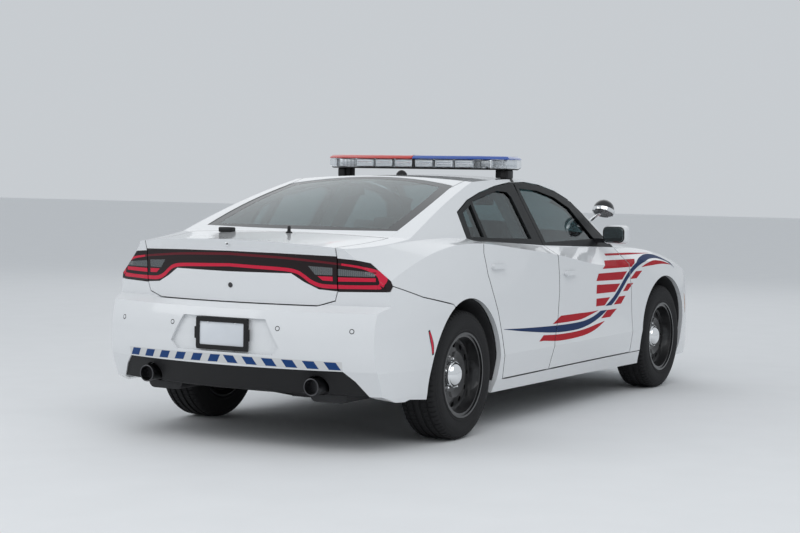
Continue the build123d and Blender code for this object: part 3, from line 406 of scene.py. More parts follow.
def ribbon(spine, steps=8):
    """Convex pieces of a ribbon through (u, v, width) points, as a smooth curve."""
    count = len(spine)
    centres = []
    for i in range(count - 1):
        a, b, c, d = (spine[max(0, min(count - 1, i + k))] for k in (-1, 0, 1, 2))
        for k in range(steps + (i == count - 2)):
            t = k / steps
            centres.append([through(*values, t) for values in zip(a, b, c, d)])
    rims = []
    for i, (u, v, width) in enumerate(centres):
        before, after = centres[max(0, i - 1)], centres[min(len(centres) - 1, i + 1)]
        du, dv = after[0] - before[0], after[1] - before[1]
        half = width / 2 / math.hypot(du, dv)
        rims.append(((u - dv * half, v + du * half), (u + dv * half, v - du * half)))
    return [[a[0], b[0], b[1], a[1]] for a, b in zip(rims, rims[1:])]


def turned_over(shapes):
    """The same shapes on the other side of the car, in a view along X."""
    return [[(-u, v) for u, v in shape] for shape in shapes]


# Finishes of the CAD nodes. A rule is a material and a test of a face's middle and normal.

FRAME_LINE = [(-1300, 1108), (-709, 1079), (-275, 1054), (611, 1021), (900, 1010)]


def belt(x):
    """Height of the window frames' lower edge."""
    for (x0, z0), (x1, z1) in zip(FRAME_LINE, FRAME_LINE[1:]):
        if x <= x1 * MM:
            break
    return (z0 + (z1 - z0) * (x / MM - x0) / (x1 - x0)) * MM


def finish(node, material, *rules):
    """Material of a node, and other materials for the faces that pass a rule's test."""
    mesh = nodes[node].data
    mesh.materials.clear()
    for each in (material, *(rule[0] for rule in rules)):
        mesh.materials.append(each)
    for polygon in mesh.polygons if rules else ():
        for i, (_, test) in enumerate(rules):
            if test(polygon.center, polygon.normal):
                polygon.material_index = i + 1
                break


# Limits of the rules: places in metres, and parts of a face's normal
SKIN, SEAM_FACING = 0.0041, 0.8
CAP_RADIUS, DISC_RADIUS, RIM_DEPTH = 0.0755, 0.165, 0.02
INWARD, CARD_INWARD = -0.4, -0.35
LINING_Z, INNER_Z, INNER_Y = 0.95, 0.3, 0.7
MIRROR_FOOT_Y, MIRROR_BACK_X = 0.885, 0.572
INTAKE_Z, INTAKE_HALF, INTAKE_SLANT = (0.298, 0.452), 0.801, 0.53
DECK_Z, TIP_X = 1.09, -2.29
PLAIN = [
    (WHITE, ("front_fenders", "hood", "trunk_lid", "fuel_door", "rear_bumper")),
    (PLASTIC, ("rear_valance", "cowl", "dashboard", "steering_wheel")),
    (UNDER, ("trunk_tub", "wheel_liners", "fuel_tank", "front_suspension", "rear_suspension", "front_rails")),
    (GLASS, ("windshield", "rear_window")),
    (LAMP_DARK, ("tail_lamps", "trunk_lamp")),
    (TRIM, ("grille",)), (SATIN, ("plate_frame",)), (CARPET, ("cabin_floor",)), (CLOTH, ("seats",)),
    (CAST, ("engine_block",)),
]


def seam_shade_edge(door, centre, normal, turn):
    """Whether a face lies on the front or rear edge of a door's skin; these faces get a dark material as
    painted shade, so the seam shows dark though the real edge is white paint.
    """
    if abs(normal.x) < SEAM_FACING:
        return False
    outer = hit(door, (centre.x - normal.x * SKIN, turn * 2, centre.z), (0, -turn, 0))
    return outer is not None and abs(outer.y) - abs(centre.y) < SKIN


def hub_of(wheel):
    """Middle of a wheel."""
    low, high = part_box(f"tyre_{wheel}")
    return (low + high) / 2


def on_cap(centre, hub, turn):
    """Whether a face of a rim is on the chrome cap."""
    return (math.hypot(centre.x - hub.x, centre.z - hub.z) < CAP_RADIUS
            and (centre.y - hub.y) * turn > RIM_DEPTH)


def on_disc(centre, hub, turn):
    """Whether a face of a rim is on the brake disc behind it."""
    return (CAP_RADIUS < math.hypot(centre.x - hub.x, centre.z - hub.z) < DISC_RADIUS
            and (centre.y - hub.y) * turn < -RIM_DEPTH)


def inner(centre, normal, low):
    """Whether a face looks into the cabin, above a height."""
    return normal.y * math.copysign(1, centre.y) < INWARD and centre.z > low


def finish_nodes():
    """Materials of all the CAD nodes."""
    for material, plain in PLAIN:
        for node in plain:
            finish(node, material)
    for side, turn in SIDES.items():
        for end in ("front", "rear"):
            door = f"door_{end}_{side}"
            finish(door, WHITE, (PLASTIC, lambda c, n: n.y * turn < CARD_INWARD),
                   (FRAME, lambda c, n: c.z > belt(c.x) - 0.0005),
                   # Door skin edges take dark satin as painted shade in the seams, not as the edges' own
                   # colour
                   (SATIN, lambda c, n: seam_shade_edge(door, c, n, turn)))
            finish(f"glass_{end}_{side}", GLASS)
            hub = hub_of(f"{end}_{side}")
            finish(f"tyre_{end}_{side}", RUBBER)
            finish(f"rim_{end}_{side}", STEEL, (CHROME, lambda c, n: on_cap(c, hub, turn)),
                   (CAST, lambda c, n: on_disc(c, hub, turn)))
        finish(f"mirror_{side}", WHITE, (TRIM, lambda c, n: abs(c.y) < MIRROR_FOOT_Y or c.x < MIRROR_BACK_X))
        finish(f"knuckle_{side}", CAST)
    finish("body_sides", WHITE, (LINER, lambda c, n: inner(c, n, LINING_Z)),
           (PLASTIC, lambda c, n: inner(c, n, INNER_Z) and abs(c.y) > INNER_Y))
    finish("roof", WHITE, (LINER, lambda c, n: n.z < -0.3))
    finish("front_bumper", WHITE, (TRIM, lambda c, n: INTAKE_Z[0] < c.z < INTAKE_Z[1]
                                   and abs(c.y) < INTAKE_HALF - c.z * INTAKE_SLANT))
    finish("rear_deck", WHITE, (PLASTIC, lambda c, n: n.z < 0.15 or c.z < DECK_Z))
    finish("headlamps", TRIM, (CLEAR, lambda c, n: n.x * 0.7 + n.y * math.copysign(0.7, c.y) > 0.55))
    finish("exhaust", PIPE, (TIP, lambda c, n: c.x < TIP_X))


# Livery

SWOOSH = [(-1030, 590, 2), (-700, 565, 22), (-300, 542, 42), (20, 538, 44), (209, 549, 37), (365, 574, 34),
          (500, 611, 35), (640, 660, 36)]
ARCH = [(440, 590, 36), (628, 655, 36), (735, 708, 38), (830, 771, 40), (913, 827, 39), (1015, 876, 37),
        (1120, 908, 36), (1225, 927, 34), (1330, 937, 31), (1470, 933, 26), (1602, 908, 17), (1712, 874, 9),
        (1790, 842, 2)]
RIBBON_BREAK = (611.0, 637.0)
BARS = [
    [(625, 977), (1030, 971), (1440, 957), (1030, 958), (622, 963)],
    [(535, 935), (1062, 929), (960, 879), (452, 884)],
    [(395, 856), (884, 852), (806, 799), (367, 808)],
    [(379, 783), (775, 774), (694, 722), (376, 725)],
    [(378, 693), (608, 691), (515, 642), (370, 643)],
    [(1153, 846), (1042, 846), (946, 797), (1056, 797)],
    [(1002, 768), (900, 768), (827, 719), (907, 719)],
    [(872, 688), (762, 688), (667, 638), (794, 638)],
    [(721, 609), (557, 609), (445, 561), (599, 561)],
]
UPPER_BAR = [(-200, 596, 44), (-60, 595, 44), (110, 596, 40), (250, 603, 22), (402, 615, 2)]
LOWER_BAR = [(-470, 499, 34), (-240, 486, 40), (18, 486, 38), (210, 496, 36), (366, 516, 26), (500, 540, 2)]
BAR_ENDS = [[(-328, 574), (-198, 574), (-198, 618)], [(-535, 482), (-468, 482), (-468, 516)]]
UNDER_ARCH = [(1140, 871, 2), (1240, 884, 20), (1354, 893, 32), (1450, 893, 27), (1567, 886, 16),
              (1712, 868, 2)]


def level_cut(shapes, low, high):
    """Convex shapes cut off level, below low and above high."""
    result = []
    for shape in shapes:
        for limit, way in ((low, 1), (high, -1)):
            part = []
            for (u0, v0), (u1, v1) in zip(shape[-1:] + shape[:-1], shape):
                inside0, inside1 = (v0 - limit) * way > 0, (v1 - limit) * way > 0
                if inside0 != inside1:
                    part.append((u0 + (u1 - u0) * (limit - v0) / (v1 - v0), limit))
                if inside1:
                    part.append((u1, v1))
            shape = part
        if len(shape) > 2:
            result.append(shape)
    return result


def livery():
    """Blue ribbon and red bars on both sides, one film for each panel and colour."""
    blue = level_cut(ribbon(SWOOSH), 0, RIBBON_BREAK[0]) + level_cut(ribbon(ARCH), RIBBON_BREAK[1], 2000)
    red = BARS + BAR_ENDS + ribbon(UPPER_BAR) + ribbon(LOWER_BAR) + ribbon(UNDER_ARCH)
    for side, turn in SIDES.items():
        for color, shapes, material in (("blue", blue, BLUE), ("red", red, RED)):
            for door in (f"door_front_{side}", f"door_rear_{side}"):
                film(f"livery_{color}_{door}", door, "side", turn, shapes, material, door)
            for node in ("front_fenders", "body_sides"):
                film(f"livery_{color}_{node}_{side}", node, "side", turn, shapes, material)


# Tail: the red loop, reverse lamps, the strip of blocks, the plate and the small fittings

LOOP = [(0, 980, 17), (150, 975, 18), (330, 968, 19), (400, 957, 19), (440, 935, 19), (480, 907, 20),
        (530, 889, 21), (600, 885, 21), (735, 886, 20), (820, 888, 22)]
LOOP_END = [(820, 888, 22), (837, 893, 25), (843, 911, 27), (834, 936, 24), (808, 960, 17), (772, 979, 13),
            (723, 992, 12), (640, 1003, 11)]
LOOP_TOP = [(640, 1003, 11), (500, 1016, 12), (303, 1030, 13), (0, 1040, 14)]
REVERSE = [[(465, 990), (594, 984), (592, 945), (502, 945)], [(622, 979), (803, 964), (808, 941), (622, 943)]]
LOW_BARS = [[(514, 938), (594, 937), (594, 914), (541, 916)],
            [(622, 935), (812, 935), (812, 916), (622, 913)]]
BLOCKS, BLOCK_PITCH, BLOCK_WIDTH, BLOCK_LEAN = 6, 117.0, 64.0, 25.0
BLOCK_START, BLOCK_Z = 9.0, (463.0, 503.0)
STRIP_PARTS, STRIP_EDGE, STRIP_SHORT, STRIP_FALL = 8, 4.0, 20.0, 0.012


def lamps():
    """Red loop round the tail, with the reverse lamps and the low red bars inside it."""
    parts = {"loop": (ribbon(LOOP) + ribbon(LOOP_END), LAMP_RED), "line": (ribbon(LOOP_TOP), LAMP_DEEP),
             "reverse": (REVERSE, REFLECTOR), "bar": (LOW_BARS, LAMP_RED)}
    for side, turn in SIDES.items():
        for part, (shapes, material) in parts.items():
            shapes = shapes if turn > 0 else turned_over(shapes)
            for node, body in (("trunk_lamp", "trunk"), ("tail_lamps", "body")):
                film(f"{node}_{part}_{side}", node, "tail", -1, shapes, material, body, lift=0.5)


def block_strip():
    """Strip of slanted blocks under the plate, which lean outward from the middle and fall a little."""
    low, high = BLOCK_Z
    blocks = []
    for y in (BLOCK_START + i * BLOCK_PITCH for i in range(BLOCKS)):
        blocks.append([(y, high), (y + BLOCK_WIDTH, high), (y + BLOCK_WIDTH + BLOCK_LEAN, low),
                       (y + BLOCK_LEAN, low)])
    part = (BLOCK_START + BLOCKS * BLOCK_PITCH - STRIP_SHORT) / STRIP_PARTS
    ground = []
    for y in (part * k for k in range(STRIP_PARTS)):
        ground.append([(y, low - STRIP_EDGE), (y, high + STRIP_EDGE), (y + part, high + STRIP_EDGE),
                       (y + part, low - STRIP_EDGE)])
    for name, shapes, material, lift in (("white", ground, STRIP, 0.3), ("blue", blocks, STRIP_BLUE, 0.6)):
        left = [[(y, z - y * STRIP_FALL) for y, z in shape] for shape in shapes]
        film(f"strip_{name}", "rear_bumper", "tail", -1, left + turned_over(left), material, lift=lift)


PLATE_SIZE, PLATE_THICK, PLATE_STEP, TAB_Y = (305, 152), 1.6, 1.2, 168
PLATE_BOLT = (88.9, 60.3)


def number_plate():
    """Blank plate in a black rim, with a tab and a bolt on each side."""
    low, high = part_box("plate_frame")
    x, z = low.x / MM, (low.z + high.z) / 2 / MM
    rounded_plate("plate", (x - PLATE_STEP, 0, z), *PLATE_SIZE, PLATE_THICK, 8, PLATE)
    rim = bmesh.new()
    outer, opening, depth = (165, 87, 12), (143, 62, 6), 7
    rings = []
    for size, shift in ((outer, 0), (outer, -depth), (opening, -depth), (opening, -2)):
        rings.append([rim.verts.new(((x + shift) * MM, y * MM, (z + up) * MM))
                      for y, up in rounded_outline(*size, 4)])
    join_rings(rim, rings)
    add("plate_rim", rim, SATIN)
    for side, turn in SIDES.items():
        rounded_block(f"plate_tab_{side}", (x - 1, turn * TAB_Y), (5, 9), (z - 32, z + 32), 3, SATIN)
        bolt = Vector((x - 2, turn * PLATE_BOLT[0], z + PLATE_BOLT[1])) * MM
        turned(f"plate_bolt_{side}", [(0, 4), (5, 4), (7, 2), (7, 0)], bolt, (-1, 0, 0), CHROME, count=20)


SENSOR_Y, SENSOR_Z = (0.740, 0.340, -0.340, -0.740), 0.660
LOCK_Z, CAMERA_Z = 1.094, 0.872
TIP_Y, TIP_Z = 0.535, 0.362
MARKERS = [
    # name, node, spine, material, lift
    ("side_reflector", "rear_bumper",
     [(-1944, 640, 10), (-1925, 600, 17), (-1911, 560, 18), (-1902, 520, 12)], LAMP_RED, 1.2),
    ("side_reflector_edge", "rear_bumper",
     [(-1948, 648, 16), (-1926, 600, 26), (-1909, 560, 27), (-1899, 512, 18)], SATIN, 0.5),
    ("front_marker", "front_bumper",
     [(2014, 646, 10), (2035, 590, 18), (2050, 545, 18), (2056, 503, 10)], AMBER, 0.8),
]


def tail_fittings():
    """Parking sensors, lid keyhole, camera, side markers and the exhaust tips' rolled edges."""
    for i, y in enumerate(SENSOR_Y):
        spot = behind("rear_bumper", y, SENSOR_Z)
        face = surface("rear_bumper", "tail", -1).normal(spot)
        turned(f"sensor_{i}", [(0, 1.6), (8.5, 1.6), (9.5, 0.8), (9.5, -2)], spot, face, WHITE, count=32)
        turned(f"sensor_ring_{i}", [(9.6, 0.2), (12.5, 1.0), (13.5, 0), (13.5, -2)], spot, face, SATIN,
               count=32)
    lock = behind("trunk_lid", 0, LOCK_Z)
    turned("lid_lock", [(0, 1.0), (3, 1.0), (3, 3.0), (10, 3.0), (12, 2), (12, -1)], lock, (-1, 0, 0.1),
           CHROME, "trunk", 32)
    turned("lid_lock_slot", [(0, 1.6), (5.5, 1.6), (5.5, 0)], lock + Vector((-0.002, 0, 0)), (-1, 0, 0.1),
           SATIN, "trunk", 24)
    turned("camera", [(0, 7), (5, 6.5), (7, 4), (12, 4), (14, 2), (14, -1)],
           behind("trunk_lid", 0, CAMERA_Z), (-1, 0, -0.1), TRIM, "trunk", 32)
    lip = [(40, 0), (40.5, -1.5), (43, -2.4), (46, -1.2), (46.5, 2), (44.5, 6)]
    for side, turn in SIDES.items():
        for name, node, spine, material, lift in MARKERS:
            film(f"{name}_{side}", node, "side", turn, ribbon(spine, 4), material, lift=lift)
        turned(f"tip_edge_{side}", lip, (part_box("exhaust")[0].x, turn * TIP_Y, TIP_Z), (1, 0, 0), TIP)


# Roof: the light bar, the pillar lamps and the antennas

BAR_X, BAR_REACH = -300.0, (160.0, 650.0)
BAR_CORNERS = [(150, 500), (160, 0), (150, -500), (90, -650), (-90, -650), (-150, -500), (-160, 0),
               (-150, 500), (-90, 650), (90, 650)]
TRAY_DEEP, TRAY_HIGH, COVER_HIGH = 18.0, 8.0, 22.0
POD_Y, FOOT_Y, REST_Y, HOOK_Y, CAP_Y = 590.0, 600.0, 548.0, 636.0, 612.0
STRAP_X, STRAP_Y, STRAP_STEP = (0.0, 38.0), (560, 680), 10
MODULE_X, MODULE_START, MODULE_PITCH, MODULE_HALF = 118.0, 72.0, 142.0, (14.0, 62.0)
DIODES, DIODE_START, DIODE_PITCH, DIODE_X = 6, -42.0, 17.0, 14.5
CORNER_PLACE, CORNER_TURN = (98.0, 502.0), math.radians(32)


def bar_slab(name, node, material, rings, half=0):
    """Slab with the light bar's outline, from rings of (height, inset), in place of a node's own look.
    With half 1 or -1 it is only the left or right half."""
    slab = bmesh.new()
    loops = []
    for z, inset in rings:
        share_x, share_y = (1 - inset / reach for reach in BAR_REACH)
        loops.append([slab.verts.new(((BAR_X + x * share_x) * MM, y * share_y * MM, z * MM))
                      for x, y in BAR_CORNERS])
    join_rings(slab, loops, capped=True)
    if half:
        cut = bmesh.ops.bisect_plane(slab, geom=slab.verts[:] + slab.edges[:] + slab.faces[:],
                                     plane_co=(0, half * MM, 0), plane_no=(0, -half, 0), clear_outer=True)
        edges = [e for e in cut["geom_cut"] if isinstance(e, bmesh.types.BMEdge)]
        bmesh.ops.holes_fill(slab, edges=edges)
    piece = add(name, slab, material)
    soft = piece.modifiers.new("soft", "BEVEL")
    soft.width, soft.segments, soft.limit_method, soft.angle_limit = 0.004, 2, "ANGLE", math.radians(30)
    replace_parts(piece, node)


def bar_mounts(side, turn, bottom):
    """Pod and rest under one end of the bar, and the strap to a chrome hook at the roof's edge."""
    foot = above("body_sides", BAR_X * MM, turn * FOOT_Y * MM).z / MM
    near, far = (BAR_X + x for x in STRAP_X)
    middle = (near + far) / 2
    edge = above("body_sides", middle * MM, turn * HOOK_Y * MM).z / MM
    rounded_block(f"bar_pod_{side}", (BAR_X, turn * POD_Y), (42, 28), (foot + 1, bottom + 2), 10, SATIN,
                  segments=4)
    rounded_block(f"bar_hook_{side}", (middle, turn * HOOK_Y), (12, 7), (edge - 2, edge + 6), 2, CHROME)
    rounded_block(f"bar_rest_{side}", (BAR_X, turn * REST_Y), (30, 22), (foot + 6, bottom + 2), 6, PLASTIC)
    strap = []
    for y in range(*STRAP_Y, STRAP_STEP):
        a, b = turn * y, turn * (y + STRAP_STEP)
        strap.append([(near, a), (far, a), (far, b), (near, b)])
    film(f"bar_strap_roof_{side}", "roof", "top", 1, strap, SATIN, lift=1.5)
    film(f"bar_strap_{side}", "body_sides", "top", 1, strap, SATIN, lift=1.5)


def bar_modules(side, turn, heights):
    """Reflector modules with their diodes, the corner modules and the end cap on one side of the bar."""
    middle_z = sum(heights) / 2 * MM
    for row, way in (("rear", -1), ("front", 1)):
        x = BAR_X + way * MODULE_X
        for k in range(3):
            y = turn * (MODULE_START + k * MODULE_PITCH)
            rounded_block(f"bar_module_{row}_{side}_{k}", (x, y), MODULE_HALF, heights, 5, SILVER)
            for j in range(DIODES):
                turned(f"bar_light_{row}_{side}_{k}_{j}", [(0, 4), (3, 3.4), (5, 1.6), (6.5, 0)],
                       ((x + way * DIODE_X) * MM, (y + DIODE_START + j * DIODE_PITCH) * MM, middle_z),
                       (way, 0, 0), CHROME, count=16)
        rounded_block(f"bar_corner_{row}_{side}", (BAR_X + way * CORNER_PLACE[0], turn * CORNER_PLACE[1]),
                      (12, 56), heights, 5, SILVER, turn=-way * turn * CORNER_TURN)
    rounded_block(f"bar_end_{side}", (BAR_X, turn * CAP_Y), (66, 10), heights, 4, SILVER)


def light_bar():
    """Tray, clear lens and coloured covers, with what is in them and what holds them."""
    bottom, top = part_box("light_bar_base")[1].z / MM - TRAY_DEEP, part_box("light_bar_red")[1].z / MM
    seat, rim = bottom + TRAY_HIGH, top - COVER_HIGH
    bar_slab("bar_tray", "light_bar_base", SATIN, [(bottom, 22), (seat - 2, 12), (seat, 12)])
    bar_slab("bar_lens", "light_bar_lens", CLEAR, [(seat + 0.4, 8), (seat + 8, 1), (rim - 0.4, 1)])
    cover = [(rim, 0), (rim + 5, 0), (top - 4, 16), (top, 30)]
    bar_slab("bar_cover_red", "light_bar_red", LENS_RED, cover, 1)
    bar_slab("bar_cover_blue", "light_bar_blue", LENS_BLUE, cover, -1)
    heights = (seat + 4, rim - 3)
    for side, turn in SIDES.items():
        bar_mounts(side, turn, bottom)
        bar_modules(side, turn, heights)
    rounded_block("bar_divider", (BAR_X, 0), (128, 4), heights, 1.5, SATIN)
    rounded_block("bar_seam", (BAR_X, 0), (132, 3), (rim + 2, top + 1.5), 1.0, SATIN)


SPOT_PLACE, SPOT_ROOT, SPOT_AXIS = (0.750, 0.806, 1.262), (0.741, 0.712, 1.187), (0.407, 0.0, 0.914)


def pillar_lamps():
    """Black dome, chrome rim and stem in place of each pillar lamp."""
    dome = [(0, 71.5), (22, 68), (42, 58), (58, 42), (68, 22), (71.5, 2)]
    rim = [(71, 3), (75.5, 1), (76, -6), (75, -20), (70, -24), (66, -21)]
    lens = [(67, -21), (45, -19), (0, -17)]
    for side, turn in SIDES.items():
        place, root = (Vector((x, turn * y, z)) for x, y, z in (SPOT_PLACE, SPOT_ROOT))
        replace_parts(turned(f"pillar_lamp_dome_{side}", dome, place, SPOT_AXIS, TRIM), "spotlights")
        turned(f"pillar_lamp_rim_{side}", rim, place, SPOT_AXIS, CHROME)
        turned(f"pillar_lamp_lens_{side}", lens, place, SPOT_AXIS, REFLECTOR)
        stem = [place.lerp(root, share) for share in (0.25, 0.6, 1.0)]
        tube(f"pillar_lamp_stem_{side}", stem, 11, CHROME, 16)


PUCK_PLACE, MAST_PLACE, DECK_LIGHT_PLACE = (-0.62, -0.02), (-1.96, -0.06), (-1.96, 0.36)


def antennas():
    """Puck on the roof, and mast and small lamp on the trunk deck."""
    turned("roof_antenna", [(34, -1), (34, 4), (31, 9), (22, 20), (11, 27), (0, 29)],
           above("roof", *PUCK_PLACE), (0, 0, 1), SATIN, count=40)
    turned("deck_antenna", [(19, -1), (19, 4), (14, 7), (10, 10), (9, 34), (7, 38), (0, 39)],
           above("trunk_lid", *MAST_PLACE), (0, 0, 1), SATIN, "trunk", 36)
    spot = above("trunk_lid", *DECK_LIGHT_PLACE) / MM
    rounded_block("deck_light", (spot.x, spot.y), (26, 44), (spot.z - 2, spot.z + 27), 8, SATIN, "trunk")


# Glass edges

REAR_OPENING = [(-1015, 500), (-925, 0), (-1015, -500), (-1400, -556), (-1745, -566), (-1792, 0),
                (-1745, 566), (-1400, 556)]
FRONT_OPENING = [(860, 672), (985, 0), (860, -672), (622, -612), (372, -525), (432, 0), (372, 525),
                 (622, 612)]
OPENING_REACH = 130.0


def arcs(points, middles, steps=10):
    """Closed outline with a quadratic curve through each marked middle point."""
    outline = []
    count = len(points)
    for i in range(count):
        a, m, b = (Vector(points[j % count]) for j in (i - 1, i, i + 1))
        if i in middles:
            handle = 2 * m - (a + b) / 2
            for t in (k / steps for k in range(1, steps)):
                outline.append((1 - t) ** 2 * a + 2 * t * (1 - t) * handle + t * t * b)
        else:
            outline.append(m)
    return outline


def glass_edges():
    """Dark printed edges of the windshield and the rear window."""
    for node, opening in (("rear_window", REAR_OPENING), ("windshield", FRONT_OPENING)):
        rim = arcs(opening, {1, 3, 5, 7})
        centre = sum(rim, Vector((0, 0))) / len(rim)
        quads = []
        for a, b in zip(rim, rim[1:] + rim[:1]):
            far = [p + (p - centre).normalized() * OPENING_REACH for p in (b, a)]
            quads.append([a, b, *far])
        film(f"{node}_edge", node, "top", 1, quads, FRIT, lift=0.3)


# Wheels

TREAD_BLOCKS = 72
# Shares of a block's pitch: its start and end, then the start and end of the gap after it
BLOCK_SHARES, GAP_FROM = (0.0, 0.72, 0.76, 0.96), 2
# Cuts in the gaps: nearest to and farthest from the tyre's middle, least radius, depth
TREAD_CUTS = [(70.0, 104.5, 345.0, 5.0), (30.0, 58.0, 358.0, 3.0)]
HALF_TYRE = [
    # radius, distance from the tyre's middle, from the bead out to the tread
    (233, 103), (240, 110), (248, 116.5), (255, 117), (259, 114.5), (272, 116.5), (288, 118.5), (304, 118.5),
    (318, 116), (326, 113), (328, 113.8), (334, 110), (340, 106), (348, 103.5), (355, 97), (360, 85),
    (361.5, 71), (354, 69), (354, 59), (361.8, 57.5), (362.6, 31), (354.5, 29), (354.5, 15), (363, 13),
    (363, 0)]


def tyre(wheel):
    """Tyre with four grooves round it, shoulder blocks and ribs, in place of the plain one."""
    hub = hub_of(wheel)
    profile = HALF_TYRE + [(r, -y) for r, y in HALF_TYRE[-2::-1]]
    gap = []
    for r, y in profile:
        for near, far, least, depth in TREAD_CUTS:
            if near < abs(y) < far and r > least:
                r -= depth
        gap.append((r, y))
    bm = bmesh.new()
    rings = []
    for block in range(TREAD_BLOCKS):
        for k, share in enumerate(BLOCK_SHARES):
            turn = 2 * math.pi * (block + share) / TREAD_BLOCKS
            rings.append([bm.verts.new(hub + Vector((math.cos(turn) * r, y, math.sin(turn) * r)) * MM)
                          for r, y in (gap if k >= GAP_FROM else profile)])
    for a, b in zip(rings, rings[1:] + rings[:1]):
        for k in range(len(profile) - 1):
            bm.faces.new([a[k], a[k + 1], b[k + 1], b[k]])
    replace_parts(add(f"tread_{wheel}", bm, RUBBER, f"wheel_{wheel}"), f"tyre_{wheel}")


def around(hub, turn, degrees, radius, out):
    """Point at an angle round a wheel's hub, in metres."""
    angle = math.radians(degrees)
    return hub + Vector((math.cos(angle) * radius, turn * out, math.sin(angle) * radius))


CAP = [(74.69, 43.5), (75.66, 53.5), (72.75, 57.5), (69.84, 54.5), (67.9, 59.5), (64.02, 67.5),
       (56.26, 75.5), (44.62, 83.5), (29.1, 89), (13.58, 91), (0, 91.5)]
# Angle of the valve, then radius and height out from the hub of the lug nuts and the valve
LUGS, VALVE_ANGLE, LUG_PLACE, VALVE_PLACE = 5, 20, (0.088, 0.036), (0.206, 0.052)


def wheel_trim(wheel, turn):
    """Chrome cap with a rolled edge, the lug nuts round it and the valve."""
    hub, body, outward = hub_of(wheel), f"wheel_{wheel}", (0, turn, 0)
    turned(f"cap_{wheel}", CAP, hub, outward, CHROME, body, 64)
    for k in range(LUGS):
        turned(f"lug_{wheel}_{k}", [(0, 13), (5, 13), (8, 10), (9.5, 0), (11, -4)],
               around(hub, turn, 90 + 360 / LUGS * k, *LUG_PLACE), outward, CHROME, body, 6)
    turned(f"valve_{wheel}", [(0, 26), (3, 26), (3.6, 20), (3.2, 12), (4.5, 0), (5, -10)],
           around(hub, turn, VALVE_ANGLE, *VALVE_PLACE), (0.2, turn, 0), RUBBER, body, 16)


def wheels():
    """Tyres with tread and the trim of all four wheels."""
    for side, turn in SIDES.items():
        for end in ("front", "rear"):
            tyre(f"{end}_{side}")
            wheel_trim(f"{end}_{side}", turn)


# Seats

PAD_CUTS, PAD_ROUND = 24, 7.0
SEAM_DEPTH, ROLL_HIGH, RIB_DEPTH = 9.0, 10.0, 6.0
SEAM_WIDTH, ROLL_WIDTH, RIB_WIDTH = 0.035, 0.16, 0.03
SEAT_X, SEAT_Y, SEAT_W = 90.0, 370.0, 470.0
BENCH_X, BENCH_W = -900.0, 1240.0


def bell(offset, width):
    """Height of a smooth ridge of height 1."""
    return math.exp(-(offset / width) ** 2)


def pad(name, quad, middle_y, width, crown, channels=(), ribs=()):
    """Cushion over a side profile. quad has the hidden side's start and end, then the seating side's end
    and start. The seating side is crowned, with sewn channels at shares of the half width and ribs at
    shares of the length."""
    bm = bmesh.new()
    bmesh.ops.create_cube(bm, size=2.0)
    bmesh.ops.subdivide_edges(bm, edges=bm.edges, cuts=PAD_CUTS, use_grid_fill=True)
    hidden_start, hidden_end, seating_end, seating_start = (Vector(corner) for corner in quad)
    outward = (seating_start + seating_end - hidden_start - hidden_end).normalized()
    for vertex in bm.verts:
        a, b, c = vertex.co / sum(abs(v) ** PAD_ROUND for v in vertex.co) ** (1 / PAD_ROUND)
        share = (a + 1) / 2
        hidden = hidden_start.lerp(hidden_end, share)
        x, z = hidden.lerp(seating_start.lerp(seating_end, share), (c + 1) / 2)
        lift = crown * (1 - a ** 4) * (1 - b ** 4)
        for channel in channels:
            roll = ROLL_HIGH * bell(abs(b) - (1 + channel) / 2, ROLL_WIDTH)
            lift += (roll - SEAM_DEPTH * bell(abs(b) - channel, SEAM_WIDTH)) * (1 - a ** 8)
        for rib in ribs:
            lift -= RIB_DEPTH * bell(a - rib, RIB_WIDTH) * (abs(b) < channels[0])
        lift *= max(0.0, c) ** 2
        vertex.co = Vector((x + outward.x * lift, middle_y + b * width / 2, z + outward.y * lift)) * MM
    add(name, bm, CLOTH)


def seats():
    """Padded seats in place of the plain ones."""
    x = SEAT_X
    for side, turn in SIDES.items():
        y = turn * SEAT_Y
        pad(f"seat_base_{side}", [(x - 55, 312), (x + 440, 318), (x + 462, 508), (x - 38, 466)],
            y, SEAT_W, 12, (0.62,), (-0.35, 0.3))
        pad(f"seat_back_{side}", [(x - 58, 405), (x - 198, 1040), (x - 112, 1056), (x + 58, 478)],
            y, SEAT_W - 40, 12, (0.6,), (-0.45, 0.0, 0.45))
        pad(f"headrest_{side}", [(-113, 1072), (-113, 1196), (-48, 1190), (-48, 1066)], y, 220, 6)
        for post, way in (("a", -1), ("b", 1)):
            tube(f"headrest_post_{side}_{post}",
                 [Vector((-0.082, y * MM + way * 0.06, z)) for z in (1.03, 1.06, 1.09)], 6, CHROME)
        rounded_block(f"seat_rail_{side}", (x + 190, y), (220, 200), (285, 316), 6, PLASTIC)
    x = BENCH_X
    pad("bench_base", [(x - 50, 304), (x + 428, 304), (x + 456, 508), (x - 34, 470)], 0, BENCH_W - 4, 10,
        (0.36,), (0.2,))
    pad("bench_back", [(x - 62, 420), (x - 196, 1036), (x - 112, 1054), (x + 56, 480)], 0, BENCH_W - 44, 10,
        (0.36,), (-0.2, 0.3))
    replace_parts(bpy.data.objects["seat_base_left"], "seats")


# Inside, mirrors, wipers, front lamps

def inside():
    """Instrument hood, centre screen, console and inner mirror."""
    rounded_block("gauge_hood", (865, 380), (65, 140), (955, 1004), 14, PLASTIC)
    rounded_block("centre_screen", (718, 0), (6, 118), (800, 930), 5, SCREEN)
    rounded_block("console_bin", (215, 0), (115, 98), (612, 646), 14, PLASTIC)
    stem = hit("windshield", (0.50, 0, 1.0), (0, 0, 1))
    bends = ((0, -0.004), (-0.02, -0.04), (-0.03, -0.07))
    tube("inner_mirror_stem", [stem + Vector((x, 0, z)) for x, z in bends], 7, PLASTIC)
    x, z = stem.x / MM - 36, stem.z / MM - 82
    rounded_block("inner_mirror", (x, 0), (10, 122), (z - 32, z + 32), 9, PLASTIC)
    rounded_plate("inner_mirror_glass", (x - 11, 0, z), 228, 52, 2, 20, MIRROR)


